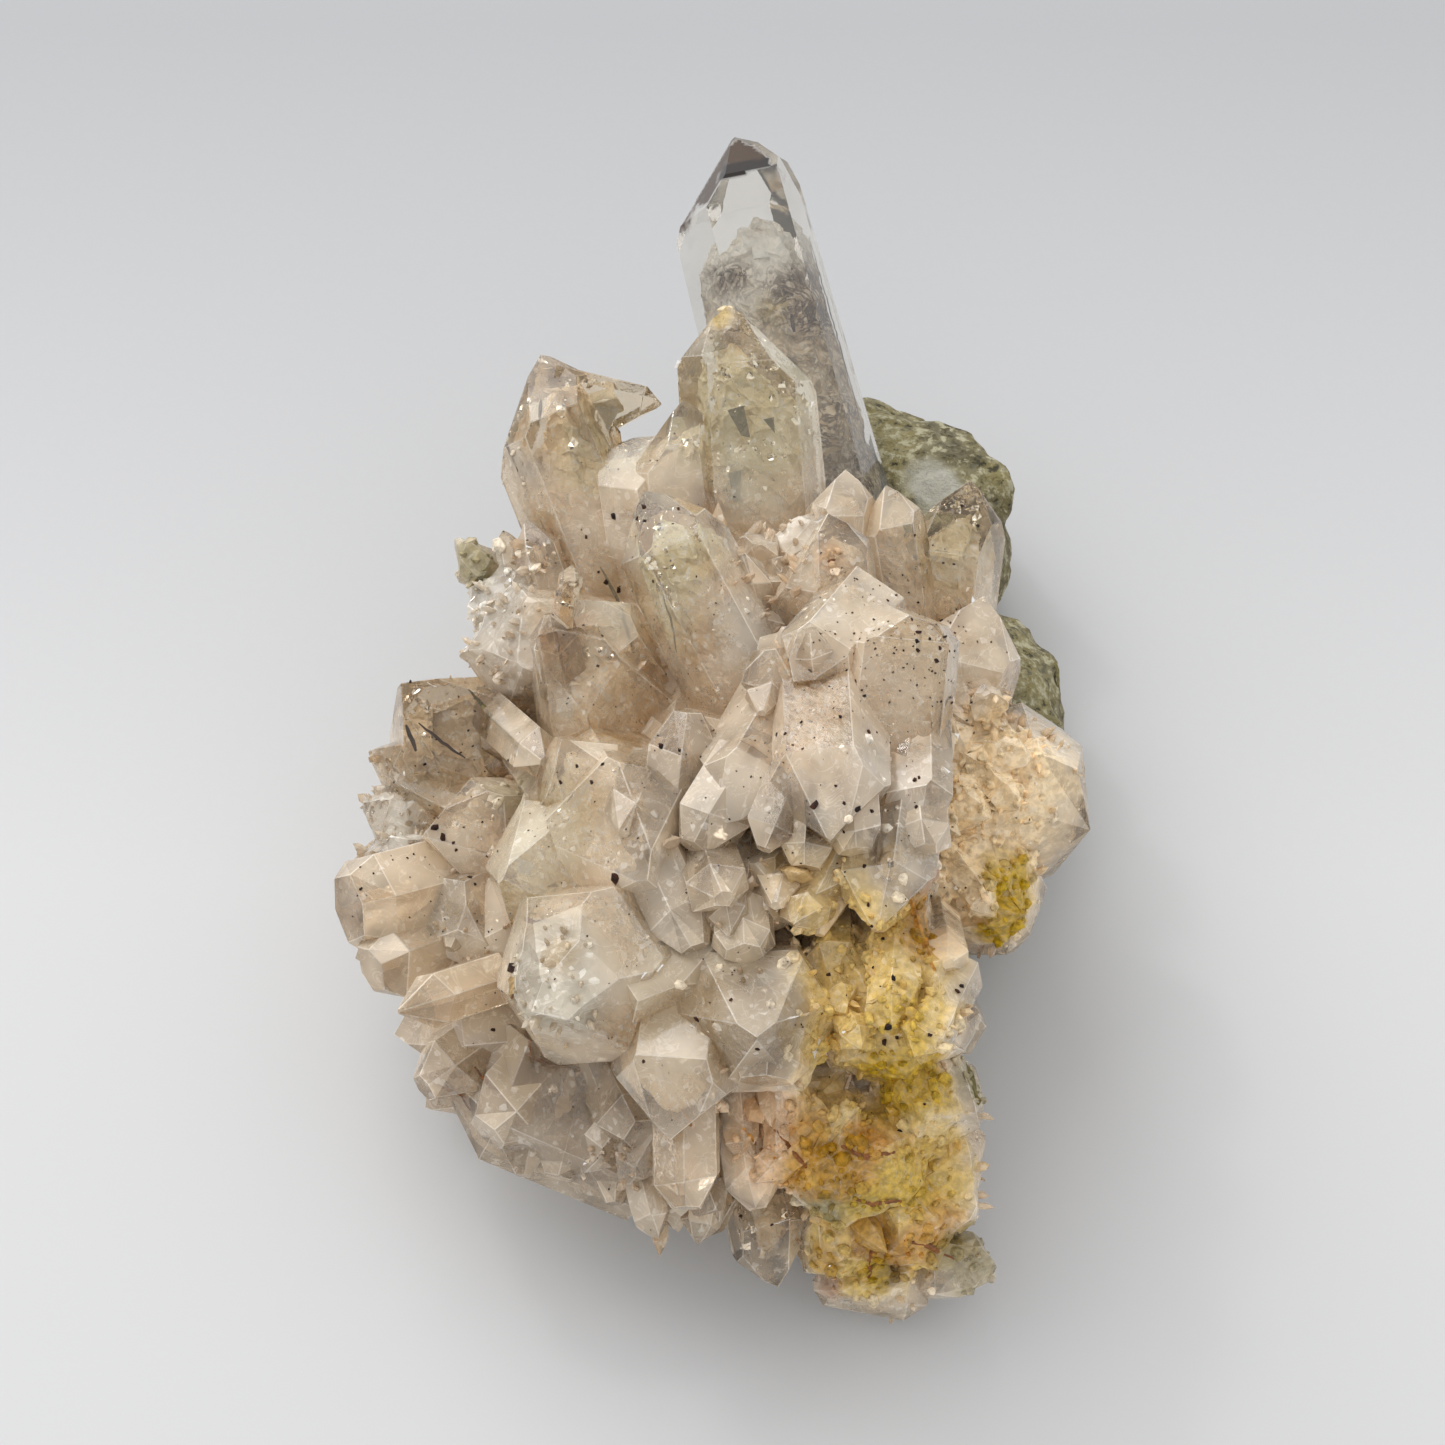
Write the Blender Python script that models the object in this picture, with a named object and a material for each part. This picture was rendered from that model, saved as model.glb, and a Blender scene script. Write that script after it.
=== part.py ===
"""A hand-size specimen of clear quartz: crystals grown together on a lump of green-grey rock.

Three solids: the rock it grew on, the fused cluster of crystals, and one tall clear point that
lies back behind the cluster. Tables are in millimetres, meshes in metres. X runs to the right of
the specimen's front, Y away from the front and Z up; the origin is on the flat it rests on.
"""

import math
import random
from dataclasses import dataclass

import bmesh
import bpy
from mathutils import Matrix, Vector, noise

MM = 0.001

# How the specimen is looked at from its front, to lay out places as they are seen
SIGHT_ELEVATION = 55.0
SIGHT_DISTANCE = 295.0
SIGHT_CENTRE = Vector((0.0, 0.0, 20.0))
LEAN = math.radians(SIGHT_ELEVATION)
RIGHT = Vector((1.0, 0.0, 0.0))
UPWARD = Vector((0.0, math.sin(LEAN), math.cos(LEAN)))
TOWARD = Vector((0.0, -math.cos(LEAN), math.sin(LEAN)))

# Quartz: the tip faces lean this far from the long axis
TIP_FACE_LEAN = 38.2
CORNER_TO_FLAT = math.cos(math.radians(30.0))
QUARTZ_IOR = 1.544

# Uneven growth, as shares of the radius: sides in or out, their taper, and tip faces set back
SIDE_STRAY = 0.12
SIDE_TAPER = 0.05
MAIN_TIP_BACK = (0.0, 0.05)
LESSER_TIP_BACK = (0.05, 0.25)

# Broken tips: how many faces, how far they lean and how far below the tip they pass
BREAK_FACES = 3
BREAK_LEAN = 0.7
BREAK_BACK = (0.35, 0.7)

# Clear space left round a piece where its neighbour touches it
GAP = 0.3

# Merging distance for the slivers that fusing leaves
SLIVER = 0.0015

# Turn between neighbours that spreads points evenly
EVEN_TURN = math.pi * (3.0 - math.sqrt(5.0))


@dataclass
class Crystal:
    """One six-sided crystal with its tip at a point and its body behind it along the axis."""

    name: str
    tip: Vector
    axis: Vector
    width: float
    length: float
    depth: float = 0.92
    roll: float = 0.0
    skew: tuple = (0.0, 0.0)
    broken: bool = False


def seen_at(across, up, height):
    """The point at a height over the table that is seen at this place from the front."""
    eye = SIGHT_CENTRE + SIGHT_DISTANCE * TOWARD
    on_plane = SIGHT_CENTRE + across * RIGHT + up * UPWARD
    reach = (eye.z - height) / (eye.z - on_plane.z)
    return eye + (on_plane - eye) * reach


def aimed(heading, toward):
    """The unit vector with this heading as seen and this lean towards the eye, in degrees."""
    heading, toward = math.radians(heading), math.radians(toward)
    flat = math.cos(heading) * RIGHT + math.sin(heading) * UPWARD
    return math.cos(toward) * flat + math.sin(toward) * TOWARD


def seen(name, tip, aim, width, length, **shape):
    """A crystal by where its tip is seen (across, up, height) and the way it is seen to point."""
    return Crystal(name, seen_at(*tip), aimed(*aim), width, length, **shape)


TALL_POINT = seen("tall_point", (1.1, 50.4, 34), (104, -12), 11.8, 44, roll=8, skew=(0.2, 0.2))

CRYSTALS = (
    seen("back_blade", (0.5, 36.0, 40), (94, 6), 11.2, 30, depth=0.8, roll=6, skew=(-0.2, 0.0)),
    seen("back_wedge", (-3.4, 27.8, 37), (96, 12), 7.4, 20, roll=10, skew=(0.5, 0.0)),
    seen("back_broad", (-7.8, 26.8, 36), (100, 12), 8.6, 20, roll=28, broken=True),
    seen("clear_left", (-15.6, 31.6, 36), (113, 3), 10.6, 30, roll=8, skew=(0.35, 0.0)),
    seen("clear_side", (-5.3, 27.6, 34.0), (-12, 2), 4.8, 9.5, depth=0.7, roll=30, skew=(-0.5, 0.0)),
    seen("long_middle", (-6.7, 19.9, 42), (118, 6), 9.4, 28, roll=4),
    seen("left_grey", (-17.0, 17.4, 31), (108, 10), 4.2, 10, roll=15),
    seen("left_splinter", (-19.0, 16.6, 30), (100, 12), 2.2, 8, roll=20),
    seen("sugary_left", (-24.6, 8.0, 27), (172, 14), 11.5, 20, roll=12, broken=True),
    seen("sparkle_upper", (-22.9, 12.4, 27), (152, 8), 8.6, 17, roll=14, broken=True),
    seen("thin_tip", (-13.0, 13.6, 38), (80, 30), 2.0, 8),
    seen("behind_corner", (-12.6, 10.6, 36), (125, 34), 8.0, 20, roll=10),
    seen("corner_block", (-15.9, 7.4, 36), (138, 34), 12.0, 24, roll=18, skew=(0.2, 0.0)),
    seen("smoky_left", (-27.8, 3.2, 26), (130, 36), 13.8, 28, roll=20, skew=(-0.1, 0.0)),
    seen("grey_behind", (-30.6, -2.6, 19), (158, -5), 6.4, 13, roll=10),
    seen("sparkle_left", (-32.6, -7.4, 17), (165, 12), 6.8, 14, broken=True),
    seen("pink_left", (-32.8, -13.4, 16), (182, 20), 10.0, 18, roll=22, skew=(0.1, 0.0)),
    seen("low_left", (-31.6, -20.4, 14), (200, 14), 10.0, 18, roll=5),
    seen("glossy_left", (-25.6, -9.6, 27), (176, 42), 9.6, 18, roll=12),
    seen("glossy_middle", (-19.0, -13.4, 34), (186, 58), 12.0, 22, roll=20, skew=(0.0, 0.2)),
    seen("glossy_low", (-26.4, -19.4, 22), (204, 36), 8.8, 16, roll=4, broken=True),
    seen("upper_face", (-14.0, -1.6, 38), (118, 44), 8.6, 20, roll=12),
    seen("broad_face", (-6.6, -13.4, 37), (310, 72), 16.0, 28, roll=6, skew=(0.1, 0.1)),
    seen("near_broken", (-17.2, -23.4, 35), (196, 60), 15.5, 28, roll=22, broken=True),
    seen("smooth_near", (-7.2, -24.0, 33), (245, 72), 13.0, 26, roll=8),
    seen("wedge_left", (-28.2, -27.0, 18), (183, 14), 11.0, 20, roll=26),
    seen("pale_low", (-25.6, -33.2, 14), (212, 8), 6.2, 13),
    seen("long_under", (-25.2, -28.6, 17), (158, 6), 12.0, 20, roll=12),
    seen("down_point", (-4.6, -35.9, 26), (262, 36), 10.4, 22, roll=8),
    seen("clear_down", (-3.6, -42.6, 15), (265, 18), 7.2, 18, roll=16),
    seen("white_down", (4.8, -48.6, 8), (283, 20), 8.6, 20, roll=10, skew=(0.2, 0.0)),
    seen("eye_hexagon", (2.8, -27.0, 34), (270, 84), 14.0, 26, roll=2),
    seen("high_right", (9.3, -10.2, 40), (272, 48), 10.0, 20, roll=6),
    seen("beside_high", (16.6, -9.8, 37), (268, 46), 6.4, 15, roll=18),
    seen("bright_facet", (13.4, -17.8, 35), (262, 38), 8.2, 19, roll=26),
    seen("round_brown", (-3.0, 0.8, 38), (108, 48), 9.2, 18, roll=10),
    seen("down_left", (0.4, -8.7, 38), (238, 44), 9.4, 17, depth=0.85, roll=4),
    seen("small_block", (1.7, 3.6, 41), (192, 38), 5.4, 13, roll=24),
    seen("small_next", (6.2, 3.6, 42), (225, 48), 6.6, 13, roll=14),
    seen("upper_right", (9.0, 17.9, 41), (98, 24), 9.2, 22, roll=20, skew=(0.2, 0.1)),
    seen("green_small", (10.6, 21.8, 36), (88, 18), 6.0, 14, roll=8),
    seen("white_patch", (5.2, 19.0, 37), (118, 30), 6.4, 12, broken=True),
    seen("shoulder_tip", (14.1, 20.4, 35), (100, 16), 6.2, 18, roll=6),
    seen("right_point", (21.3, 20.8, 31), (82, 14), 11.0, 27, roll=6, skew=(0.3, 0.0)),
    seen("round_top", (15.2, 13.2, 43), (84, 4), 10.8, 26, roll=14, broken=True),
    seen("right_block", (22.6, 10.8, 31), (74, 14), 9.6, 22, roll=10),
    seen("right_clear", (25.0, 6.4, 27), (38, 20), 8.6, 18, roll=20, broken=True),
    seen("pale_middle", (17.8, -1.4, 38), (290, 56), 6.4, 13, roll=8),
    seen("ridge_right", (28.6, -2.6, 21), (12, 22), 9.4, 20, roll=16, broken=True),
    seen("white_edge", (24.3, -25.2, 17), (0, 30), 8.8, 16, roll=24, broken=True),
)

# Broken and sugary lumps: name, middle as seen with its height, half widths, corner points
LUMPS = (
    ("olive_bit", (-21.4, 13.8, 26), (2.4, 2.6, 2.4), 18),
    ("grey_upper", (25.4, 11.6, 20), (3.4, 3.2, 4.6), 24),
    ("grey_lower", (26.8, 7.6, 18), (3.2, 3.6, 4.6), 24),
    ("grey_last", (27.2, 2.0, 17), (2.8, 4.0, 5.0), 24),
    ("white_bead", (23.0, 1.4, 28), (2.0, 1.8, 2.4), 18),
    ("sugar_right", (23.4, -6.6, 19), (8.6, 8.4, 8.4), 48),
    ("sugar_low", (21.0, -13.8, 16), (7.0, 6.4, 8.0), 38),
    ("sugar_slope", (14.5, -24.5, 25), (7.4, 6.4, 6.5), 38),
    ("end_top", (16.6, -33.0, 19), (5.8, 6.0, 6.0), 34),
    ("end_right", (19.6, -39.2, 12), (4.0, 5.0, 5.5), 30),
    ("end_middle", (11.0, -37.0, 17), (6.5, 6.0, 6.0), 34),
    ("end_pit_side", (9.8, -44.0, 10), (3.8, 4.0, 4.5), 24),
    ("end_yellow", (15.6, -42.6, 11), (5.2, 4.6, 5.0), 34),
    ("end_foot", (13.4, -47.8, 5.5), (5.4, 3.6, 4.2), 34),
    ("end_green", (19.6, -46.6, 6.5), (3.8, 3.4, 4.0), 24),
)

# Patches of small crystals: name, middle as seen with its height, half spread, aim, count, width
PATCHES = (
    ("pink_druse", (3.2, 12.2, 36.5), (2.8, 4.0), (100, 50), 9, 4.4),
    ("brown_recess", (2.8, -16.2, 34.5), (5.4, 3.0), (262, 66), 10, 5.0),
    ("yellow_slope", (14.2, -24.6, 31.0), (5.6, 5.0), (280, 62), 11, 3.9),
    ("orange_side", (22.6, -5.0, 27.0), (4.6, 6.0), (340, 55), 9, 4.6),
    ("low_side", (23.4, -14.6, 22.0), (3.6, 4.0), (330, 45), 7, 4.0),
    ("splinters", (4.6, -37.6, 20.0), (4.0, 2.6), (255, 16), 8, 2.6),
    ("crumbs", (-2.4, -44.4, 13.0), (3.4, 1.0), (270, 10), 5, 2.6),
    ("left_crumbs", (-9.0, -38.6, 15.6), (3.8, 2.2), (262, 14), 6, 4.6),
)
PATCH_LENGTH = 2.6
PATCH_SIZES = (0.75, 1.3)
PATCH_HEIGHT_STRAY = 1.0
PATCH_HEADING_STRAY = 45.0
PATCH_LEAN_STRAY = 20.0

# Large bodies that join the crystals inside: middle and half widths
CORES = (
    ((1.0, -8.0, 21.0), (17.0, 21.0, 12.0)),
    ((4.0, 10.0, 19.0), (15.0, 12.0, 11.0)),
    ((11.0, -30.0, 13.0), (9.0, 10.0, 9.0)),
    ((-14.0, -17.0, 19.0), (9.0, 13.0, 8.0)),
)
CORE_POINTS = 44

# How far the corners of lumps and cores lie out, as shares of their half widths
CORNER_REACH = (0.88, 1.08)

# Small crystals fill the room between the large ones and point out from one growth centre
GROWTH_CENTRE = Vector((0.0, -7.0, 12.0))
FILL_REACH = Vector((25.0, 32.0, 22.0))
FILL_COUNT = 56
FILL_WIDTH = (5.5, 9.0)
FILL_LOWEST = -0.094
FILL_OUT = (0.84, 1.0)
FILL_LENGTH = 0.6
FILL_STRAY = 0.25
FILL_SEED = 11

# The host rock: middle, half widths and fineness of its lumps
ROCK_LUMPS = (
    ((4.0, 2.0, 7.5), (21.0, 33.0, 10.0), 3),
    ((14.6, 27.0, 8.0), (12.6, 16.0, 10.5), 4),
    ((19.0, 4.0, 8.0), (11.5, 20.0, 9.0), 3),
)
ROCK_ROUGHNESS = 2.4
ROCK_GRAIN = 9.0
ROCK_FINE_GRAIN = 3.9
ROCK_FINE_SHARE = 0.5

# The quartz stays this far above the table, so that only the rock bears the specimen
FOOT_CLEARANCE = 0.8
TABLE_SPACE = 160.0


def cut_away(shape, point, normal):
    """Cuts off what lies beyond a plane and closes the cut."""
    everything = shape.verts[:] + shape.edges[:] + shape.faces[:]
    cut = bmesh.ops.bisect_plane(shape, geom=everything, dist=1e-6, plane_co=point, plane_no=normal,
                                 clear_outer=True)
    rim = [part for part in cut["geom_cut"] if isinstance(part, bmesh.types.BMEdge)]
    if rim:
        bmesh.ops.edgeloop_fill(shape, edges=rim)


def crystal_frame(crystal):
    """The place and turn of a crystal: local Z along its axis, local X to the right as seen."""
    axis = crystal.axis
    front = TOWARD - TOWARD.dot(axis) * axis
    if front.length < 0.25:
        front = UPWARD - UPWARD.dot(axis) * axis
    front.normalize()
    turn = Matrix((axis.cross(front), -front, axis)).transposed().to_4x4()
    turn = turn @ Matrix.Rotation(math.radians(crystal.roll), 4, "Z")
    return Matrix.Translation(crystal.tip) @ turn


def crystal_shape(crystal, grow=0.0):
    """One crystal in millimetres: a hexagonal prism, its tip faces and a blunt root."""
    rng = random.Random(crystal.name)
    radius = crystal.width / 2.0 * CORNER_TO_FLAT
    tip = Vector((crystal.skew[0] * radius, -crystal.skew[1] * radius, 0.0))
    shape = bmesh.new()
    bmesh.ops.create_cube(shape, size=4.0 * crystal.width + 2.0 * crystal.length)
    cut_away(shape, Vector((0, 0, -crystal.length - grow)), Vector((0, 0, -1)))
    ways = []
    for side in range(6):
        angle = math.radians(30.0 + 60.0 * side)
        ways.append(Vector((math.cos(angle), math.sin(angle), 0.0)))
    for way in ways:
        offset = radius * (1.0 + rng.uniform(-SIDE_STRAY, SIDE_STRAY))
        if abs(way.y) > 0.9:
            offset *= crystal.depth
        taper = Vector((0, 0, rng.uniform(0.0, SIDE_TAPER)))
        cut_away(shape, (offset + grow) * way, (way + taper).normalized())
    lean = math.radians(TIP_FACE_LEAN)
    for side, way in enumerate(ways):
        normal = way * math.cos(lean) + Vector((0, 0, math.sin(lean)))
        back = rng.uniform(*(MAIN_TIP_BACK if side % 2 == 0 else LESSER_TIP_BACK))
        cut_away(shape, tip + (back * radius + grow) * normal, normal)
    if crystal.broken:
        for _ in range(BREAK_FACES):
            across, along = rng.uniform(-BREAK_LEAN, BREAK_LEAN), rng.uniform(-BREAK_LEAN, BREAK_LEAN)
            normal = Vector((across, along, 1.0)).normalized()
            cut_away(shape, Vector((0, 0, -radius * rng.uniform(*BREAK_BACK))), normal)
    frame = crystal_frame(crystal) @ Matrix.Translation(-tip)
    bmesh.ops.transform(shape, matrix=frame, verts=shape.verts)
    return shape


def filling_crystals():
    """Evenly spread small crystals, each aimed out from the growth centre."""
    rng = random.Random(FILL_SEED)
    made = []
    for number in range(FILL_COUNT):
        rise = 1.0 - (number + 0.5) / FILL_COUNT * (1.0 - FILL_LOWEST)
        turn = number * EVEN_TURN
        flat = math.sqrt(1.0 - rise * rise)
        way = Vector((flat * math.cos(turn), flat * math.sin(turn), rise))
        way += FILL_STRAY * Vector((rng.gauss(0, 1), rng.gauss(0, 1), rng.gauss(0, 1)))
        way.normalize()
        tip = GROWTH_CENTRE + way * FILL_REACH * rng.uniform(*FILL_OUT)
        length = FILL_LENGTH * (tip - GROWTH_CENTRE).length
        made.append(Crystal(f"fill_{number}", tip, way, rng.uniform(*FILL_WIDTH), length))
    return made


def patch_crystals():
    """The patches of small crystals, scattered round their middles."""
    made = []
    for name, (across, up, height), (wide, high), (heading, toward), count, width in PATCHES:
        rng = random.Random(name)
        for number in range(count):
            turn = number * EVEN_TURN
            out = math.sqrt((number + 0.5) / count)
            tip = (across + wide * out * math.cos(turn), up + high * out * math.sin(turn),
                   height + rng.uniform(-PATCH_HEIGHT_STRAY, PATCH_HEIGHT_STRAY))
            aim = (heading + rng.uniform(-PATCH_HEADING_STRAY, PATCH_HEADING_STRAY),
                   toward + rng.uniform(-PATCH_LEAN_STRAY, PATCH_LEAN_STRAY))
            size = width * rng.uniform(*PATCH_SIZES)
            roll = rng.uniform(0.0, 60.0)
            made.append(seen(f"{name}_{number}", tip, aim, size, PATCH_LENGTH * size, roll=roll))
    return made


def hull_shape(name, middle, half, points):
    """An irregular many-faced lump: the hull of points scattered over an ellipsoid."""
    rng = random.Random(name)
    shape = bmesh.new()
    for _ in range(points):
        way = Vector((rng.gauss(0, 1), rng.gauss(0, 1), rng.gauss(0, 1))).normalized()
        shape.verts.new(Vector(middle) + way * Vector(half) * rng.uniform(*CORNER_REACH))
    hull = bmesh.ops.convex_hull(shape, input=shape.verts)
    loose = [part for part in hull["geom_interior"] if isinstance(part, bmesh.types.BMVert)]
    bmesh.ops.delete(shape, geom=loose, context="VERTS")
    return shape


def rock_lump(middle, half, fineness, grow=0.0):
    """One lump of the host rock, with its surface broken into knobs and hollows."""
    shape = bmesh.new()
    bmesh.ops.create_icosphere(shape, subdivisions=fineness, radius=1.0)
    for vert in shape.verts:
        place = Vector(middle) + vert.co * Vector(half)
        rough = noise.noise(place / ROCK_GRAIN)
        rough += ROCK_FINE_SHARE * noise.noise(place / ROCK_FINE_GRAIN)
        outward = Vector(a / b for a, b in zip(vert.co, half)).normalized()
        vert.co = place + outward * (ROCK_ROUGHNESS * rough + grow)
    return shape


def table_shape():
    """A slab that ends a little above the table."""
    shape = bmesh.new()
    bmesh.ops.create_cube(shape, size=TABLE_SPACE)
    bmesh.ops.translate(shape, vec=(0, 0, FOOT_CLEARANCE - TABLE_SPACE / 2.0), verts=shape.verts)
    return shape


def as_object(name, shape):
    """Turns a shape in millimetres into an object in metres."""
    bmesh.ops.recalc_face_normals(shape, faces=shape.faces)
    bmesh.ops.scale(shape, vec=(MM, MM, MM), verts=shape.verts)
    mesh = bpy.data.meshes.new(name)
    shape.to_mesh(mesh)
    shape.free()
    made = bpy.data.objects.new(name, mesh)
    bpy.context.scene.collection.objects.link(made)
    return made


def combine(base, helpers, operation):
    """Fuses the helpers to the base, or cuts them from it, and removes them."""
    group = bpy.data.collections.new("helpers")
    bpy.context.scene.collection.children.link(group)
    for helper in helpers:
        bpy.context.scene.collection.objects.unlink(helper)
        group.objects.link(helper)
    boolean = base.modifiers.new("combine", "BOOLEAN")
    boolean.operation = operation
    boolean.solver = "EXACT"
    boolean.operand_type = "COLLECTION"
    boolean.collection = group
    evaluated = base.evaluated_get(bpy.context.evaluated_depsgraph_get())
    result = bpy.data.meshes.new_from_object(evaluated)
    base.modifiers.clear()
    base.data = result
    for helper in helpers:
        bpy.data.objects.remove(helper)
    bpy.data.collections.remove(group)


def keep_outside(target):
    """Keeps the one outer skin, without the slivers and the sealed gaps that fusing leaves."""
    shape = bmesh.new()
    shape.from_mesh(target.data)
    bmesh.ops.remove_doubles(shape, verts=shape.verts, dist=SLIVER * MM)
    bmesh.ops.dissolve_degenerate(shape, edges=shape.edges, dist=SLIVER * MM)
    bmesh.ops.triangulate(shape, faces=shape.faces)
    unseen = set(shape.faces)
    skins = []
    while unseen:
        stack = [unseen.pop()]
        skin = set(stack)
        while stack:
            for edge in stack.pop().edges:
                for face in edge.link_faces:
                    if face in unseen:
                        unseen.discard(face)
                        skin.add(face)
                        stack.append(face)
        skins.append(skin)
    skins.sort(key=lambda skin: sum(face.calc_area() for face in skin))
    for skin in skins[:-1]:
        bmesh.ops.delete(shape, geom=list(skin), context="FACES")
    shape.to_mesh(target.data)
    shape.free()


def plain_material(name, colour, roughness, transmission=0.0):
    """A Principled material in the piece's main colour."""
    material = bpy.data.materials.new(name)
    material.use_nodes = True
    shader = material.node_tree.nodes["Principled BSDF"]
    shader.inputs["Base Color"].default_value = (*colour, 1.0)
    shader.inputs["Roughness"].default_value = roughness
    shader.inputs["Metallic"].default_value = 0.0
    shader.inputs["Transmission Weight"].default_value = transmission
    shader.inputs["IOR"].default_value = QUARTZ_IOR
    return material


def make_rock():
    """The host rock, flat where it rests and with a socket for the tall point."""
    first, *others = ROCK_LUMPS
    rock = as_object("rock_matrix", rock_lump(*first))
    combine(rock, [as_object("rock_lump", rock_lump(*lump)) for lump in others], "UNION")
    shape = bmesh.new()
    shape.from_mesh(rock.data)
    cut_away(shape, Vector((0, 0, 0)), Vector((0, 0, -1)))
    shape.to_mesh(rock.data)
    shape.free()
    combine(rock, [as_object("socket", crystal_shape(TALL_POINT, GAP))], "DIFFERENCE")
    keep_outside(rock)
    rock.data.materials.append(plain_material("green_grey_rock", (0.30, 0.30, 0.22), 0.85))
    return rock


def make_cluster():
    """All the crystals and lumps fused with their cores, clear of the rock and the tall point."""
    crystals = list(CRYSTALS) + patch_crystals() + filling_crystals()
    bodies = [as_object(crystal.name, crystal_shape(crystal)) for crystal in crystals]
    for name, middle, half, points in LUMPS:
        bodies.append(as_object(name, hull_shape(name, seen_at(*middle), half, points)))
    for number, (middle, half) in enumerate(CORES):
        name = f"core_{number}"
        bodies.append(as_object(name, hull_shape(name, middle, half, CORE_POINTS)))
    cluster = bodies.pop(0)
    cluster.name = "quartz_cluster"
    combine(cluster, bodies, "UNION")
    clear = [as_object("rock_space", rock_lump(*lump, GAP)) for lump in ROCK_LUMPS]
    clear.append(as_object("tall_space", crystal_shape(TALL_POINT, GAP)))
    clear.append(as_object("table_space", table_shape()))
    combine(cluster, clear, "DIFFERENCE")
    keep_outside(cluster)
    cluster.data.materials.append(plain_material("milky_quartz", (0.72, 0.66, 0.58), 0.2, 0.4))
    return cluster


def make_tall_point():
    """The tall clear point on its own."""
    tall = as_object("tall_point", crystal_shape(TALL_POINT))
    tall.data.materials.append(plain_material("clear_quartz", (0.86, 0.84, 0.80), 0.05, 1.0))
    return tall


def main():
    """Clears the scene and builds the three pieces."""
    for item in list(bpy.data.objects):
        bpy.data.objects.remove(item)
    make_rock()
    make_cluster()
    make_tall_point()


main()
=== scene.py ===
"""Looks of the clear quartz specimen: crystals, milky heart, rock, stains, specks and studio.

Places on the specimen are given as they are seen from its front, in millimetres across and up
from the middle of the view. Meshes are in metres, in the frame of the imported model.
"""

import math
import random

import bmesh
import bpy
import numpy as np
from bpy.props import FloatProperty, FloatVectorProperty, PointerProperty
from mathutils import Matrix, Vector, noise
from mathutils.bvhtree import BVHTree


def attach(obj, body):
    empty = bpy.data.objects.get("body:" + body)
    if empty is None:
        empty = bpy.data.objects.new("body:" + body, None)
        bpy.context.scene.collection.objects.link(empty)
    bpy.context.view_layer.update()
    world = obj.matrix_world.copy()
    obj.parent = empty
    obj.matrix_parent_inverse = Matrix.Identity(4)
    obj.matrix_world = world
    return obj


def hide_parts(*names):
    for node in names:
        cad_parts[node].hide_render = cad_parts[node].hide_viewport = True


bl_info = {
    "name": "Clear Quartz Specimen",
    "version": (1, 0, 0),
    "blender": (4, 5, 0),
    "location": "View3D > Sidebar > Quartz",
    "description": "Builds the crystals, milky heart, rock, stains, specks and studio of a quartz specimen",
    "category": "Object",
}

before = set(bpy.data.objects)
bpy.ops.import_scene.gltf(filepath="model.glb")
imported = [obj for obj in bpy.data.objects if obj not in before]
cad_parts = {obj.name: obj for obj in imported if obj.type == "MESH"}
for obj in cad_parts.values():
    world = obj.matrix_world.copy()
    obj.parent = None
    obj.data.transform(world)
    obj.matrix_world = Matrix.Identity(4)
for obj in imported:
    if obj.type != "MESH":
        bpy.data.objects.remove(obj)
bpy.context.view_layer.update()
MM = 0.001

# The view from the front: height of the eye over the table, its distance and what it looks at
SIGHT_ELEVATION = math.radians(55.0)
SIGHT_DISTANCE = 295.0
SIGHT_CENTRE = Vector((0.0, 0.0, 20.0))
RIGHT = Vector((1.0, 0.0, 0.0))
UPWARD = Vector((0.0, math.sin(SIGHT_ELEVATION), math.cos(SIGHT_ELEVATION)))
TOWARD = Vector((0.0, -math.cos(SIGHT_ELEVATION), math.sin(SIGHT_ELEVATION)))
EYE = SIGHT_CENTRE + SIGHT_DISTANCE * TOWARD

# Tints of the quartz and of its stains: colour, and how much it covers the clear surface
TINTS = {
    "body": ((0.975, 0.855, 0.67), 0.0),
    "pink": ((0.975, 0.825, 0.65), 0.0),
    "white": ((0.96, 0.90, 0.79), 0.1),
    "milk": ((0.73, 0.66, 0.53), 0.12),
    "smoke": ((0.66, 0.56, 0.43), 0.0),
    "golden": ((0.48, 0.31, 0.12), 0.15),
    "green": ((0.94, 0.89, 0.71), 0.0),
    "grey": ((0.52, 0.51, 0.44), 0.3),
    "beige": ((0.93, 0.73, 0.45), 0.5),
    "straw": ((0.70, 0.49, 0.15), 0.55),
    "yellow": ((0.55, 0.35, 0.006), 0.97),
    "orange": ((0.58, 0.26, 0.03), 0.8),
    "amber": ((0.40, 0.20, 0.008), 0.9),
    "rust": ((0.30, 0.10, 0.015), 0.9),
    "olive": ((0.19, 0.155, 0.03), 0.8),
    "brown": ((0.10, 0.05, 0.025), 0.9),
}

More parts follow.
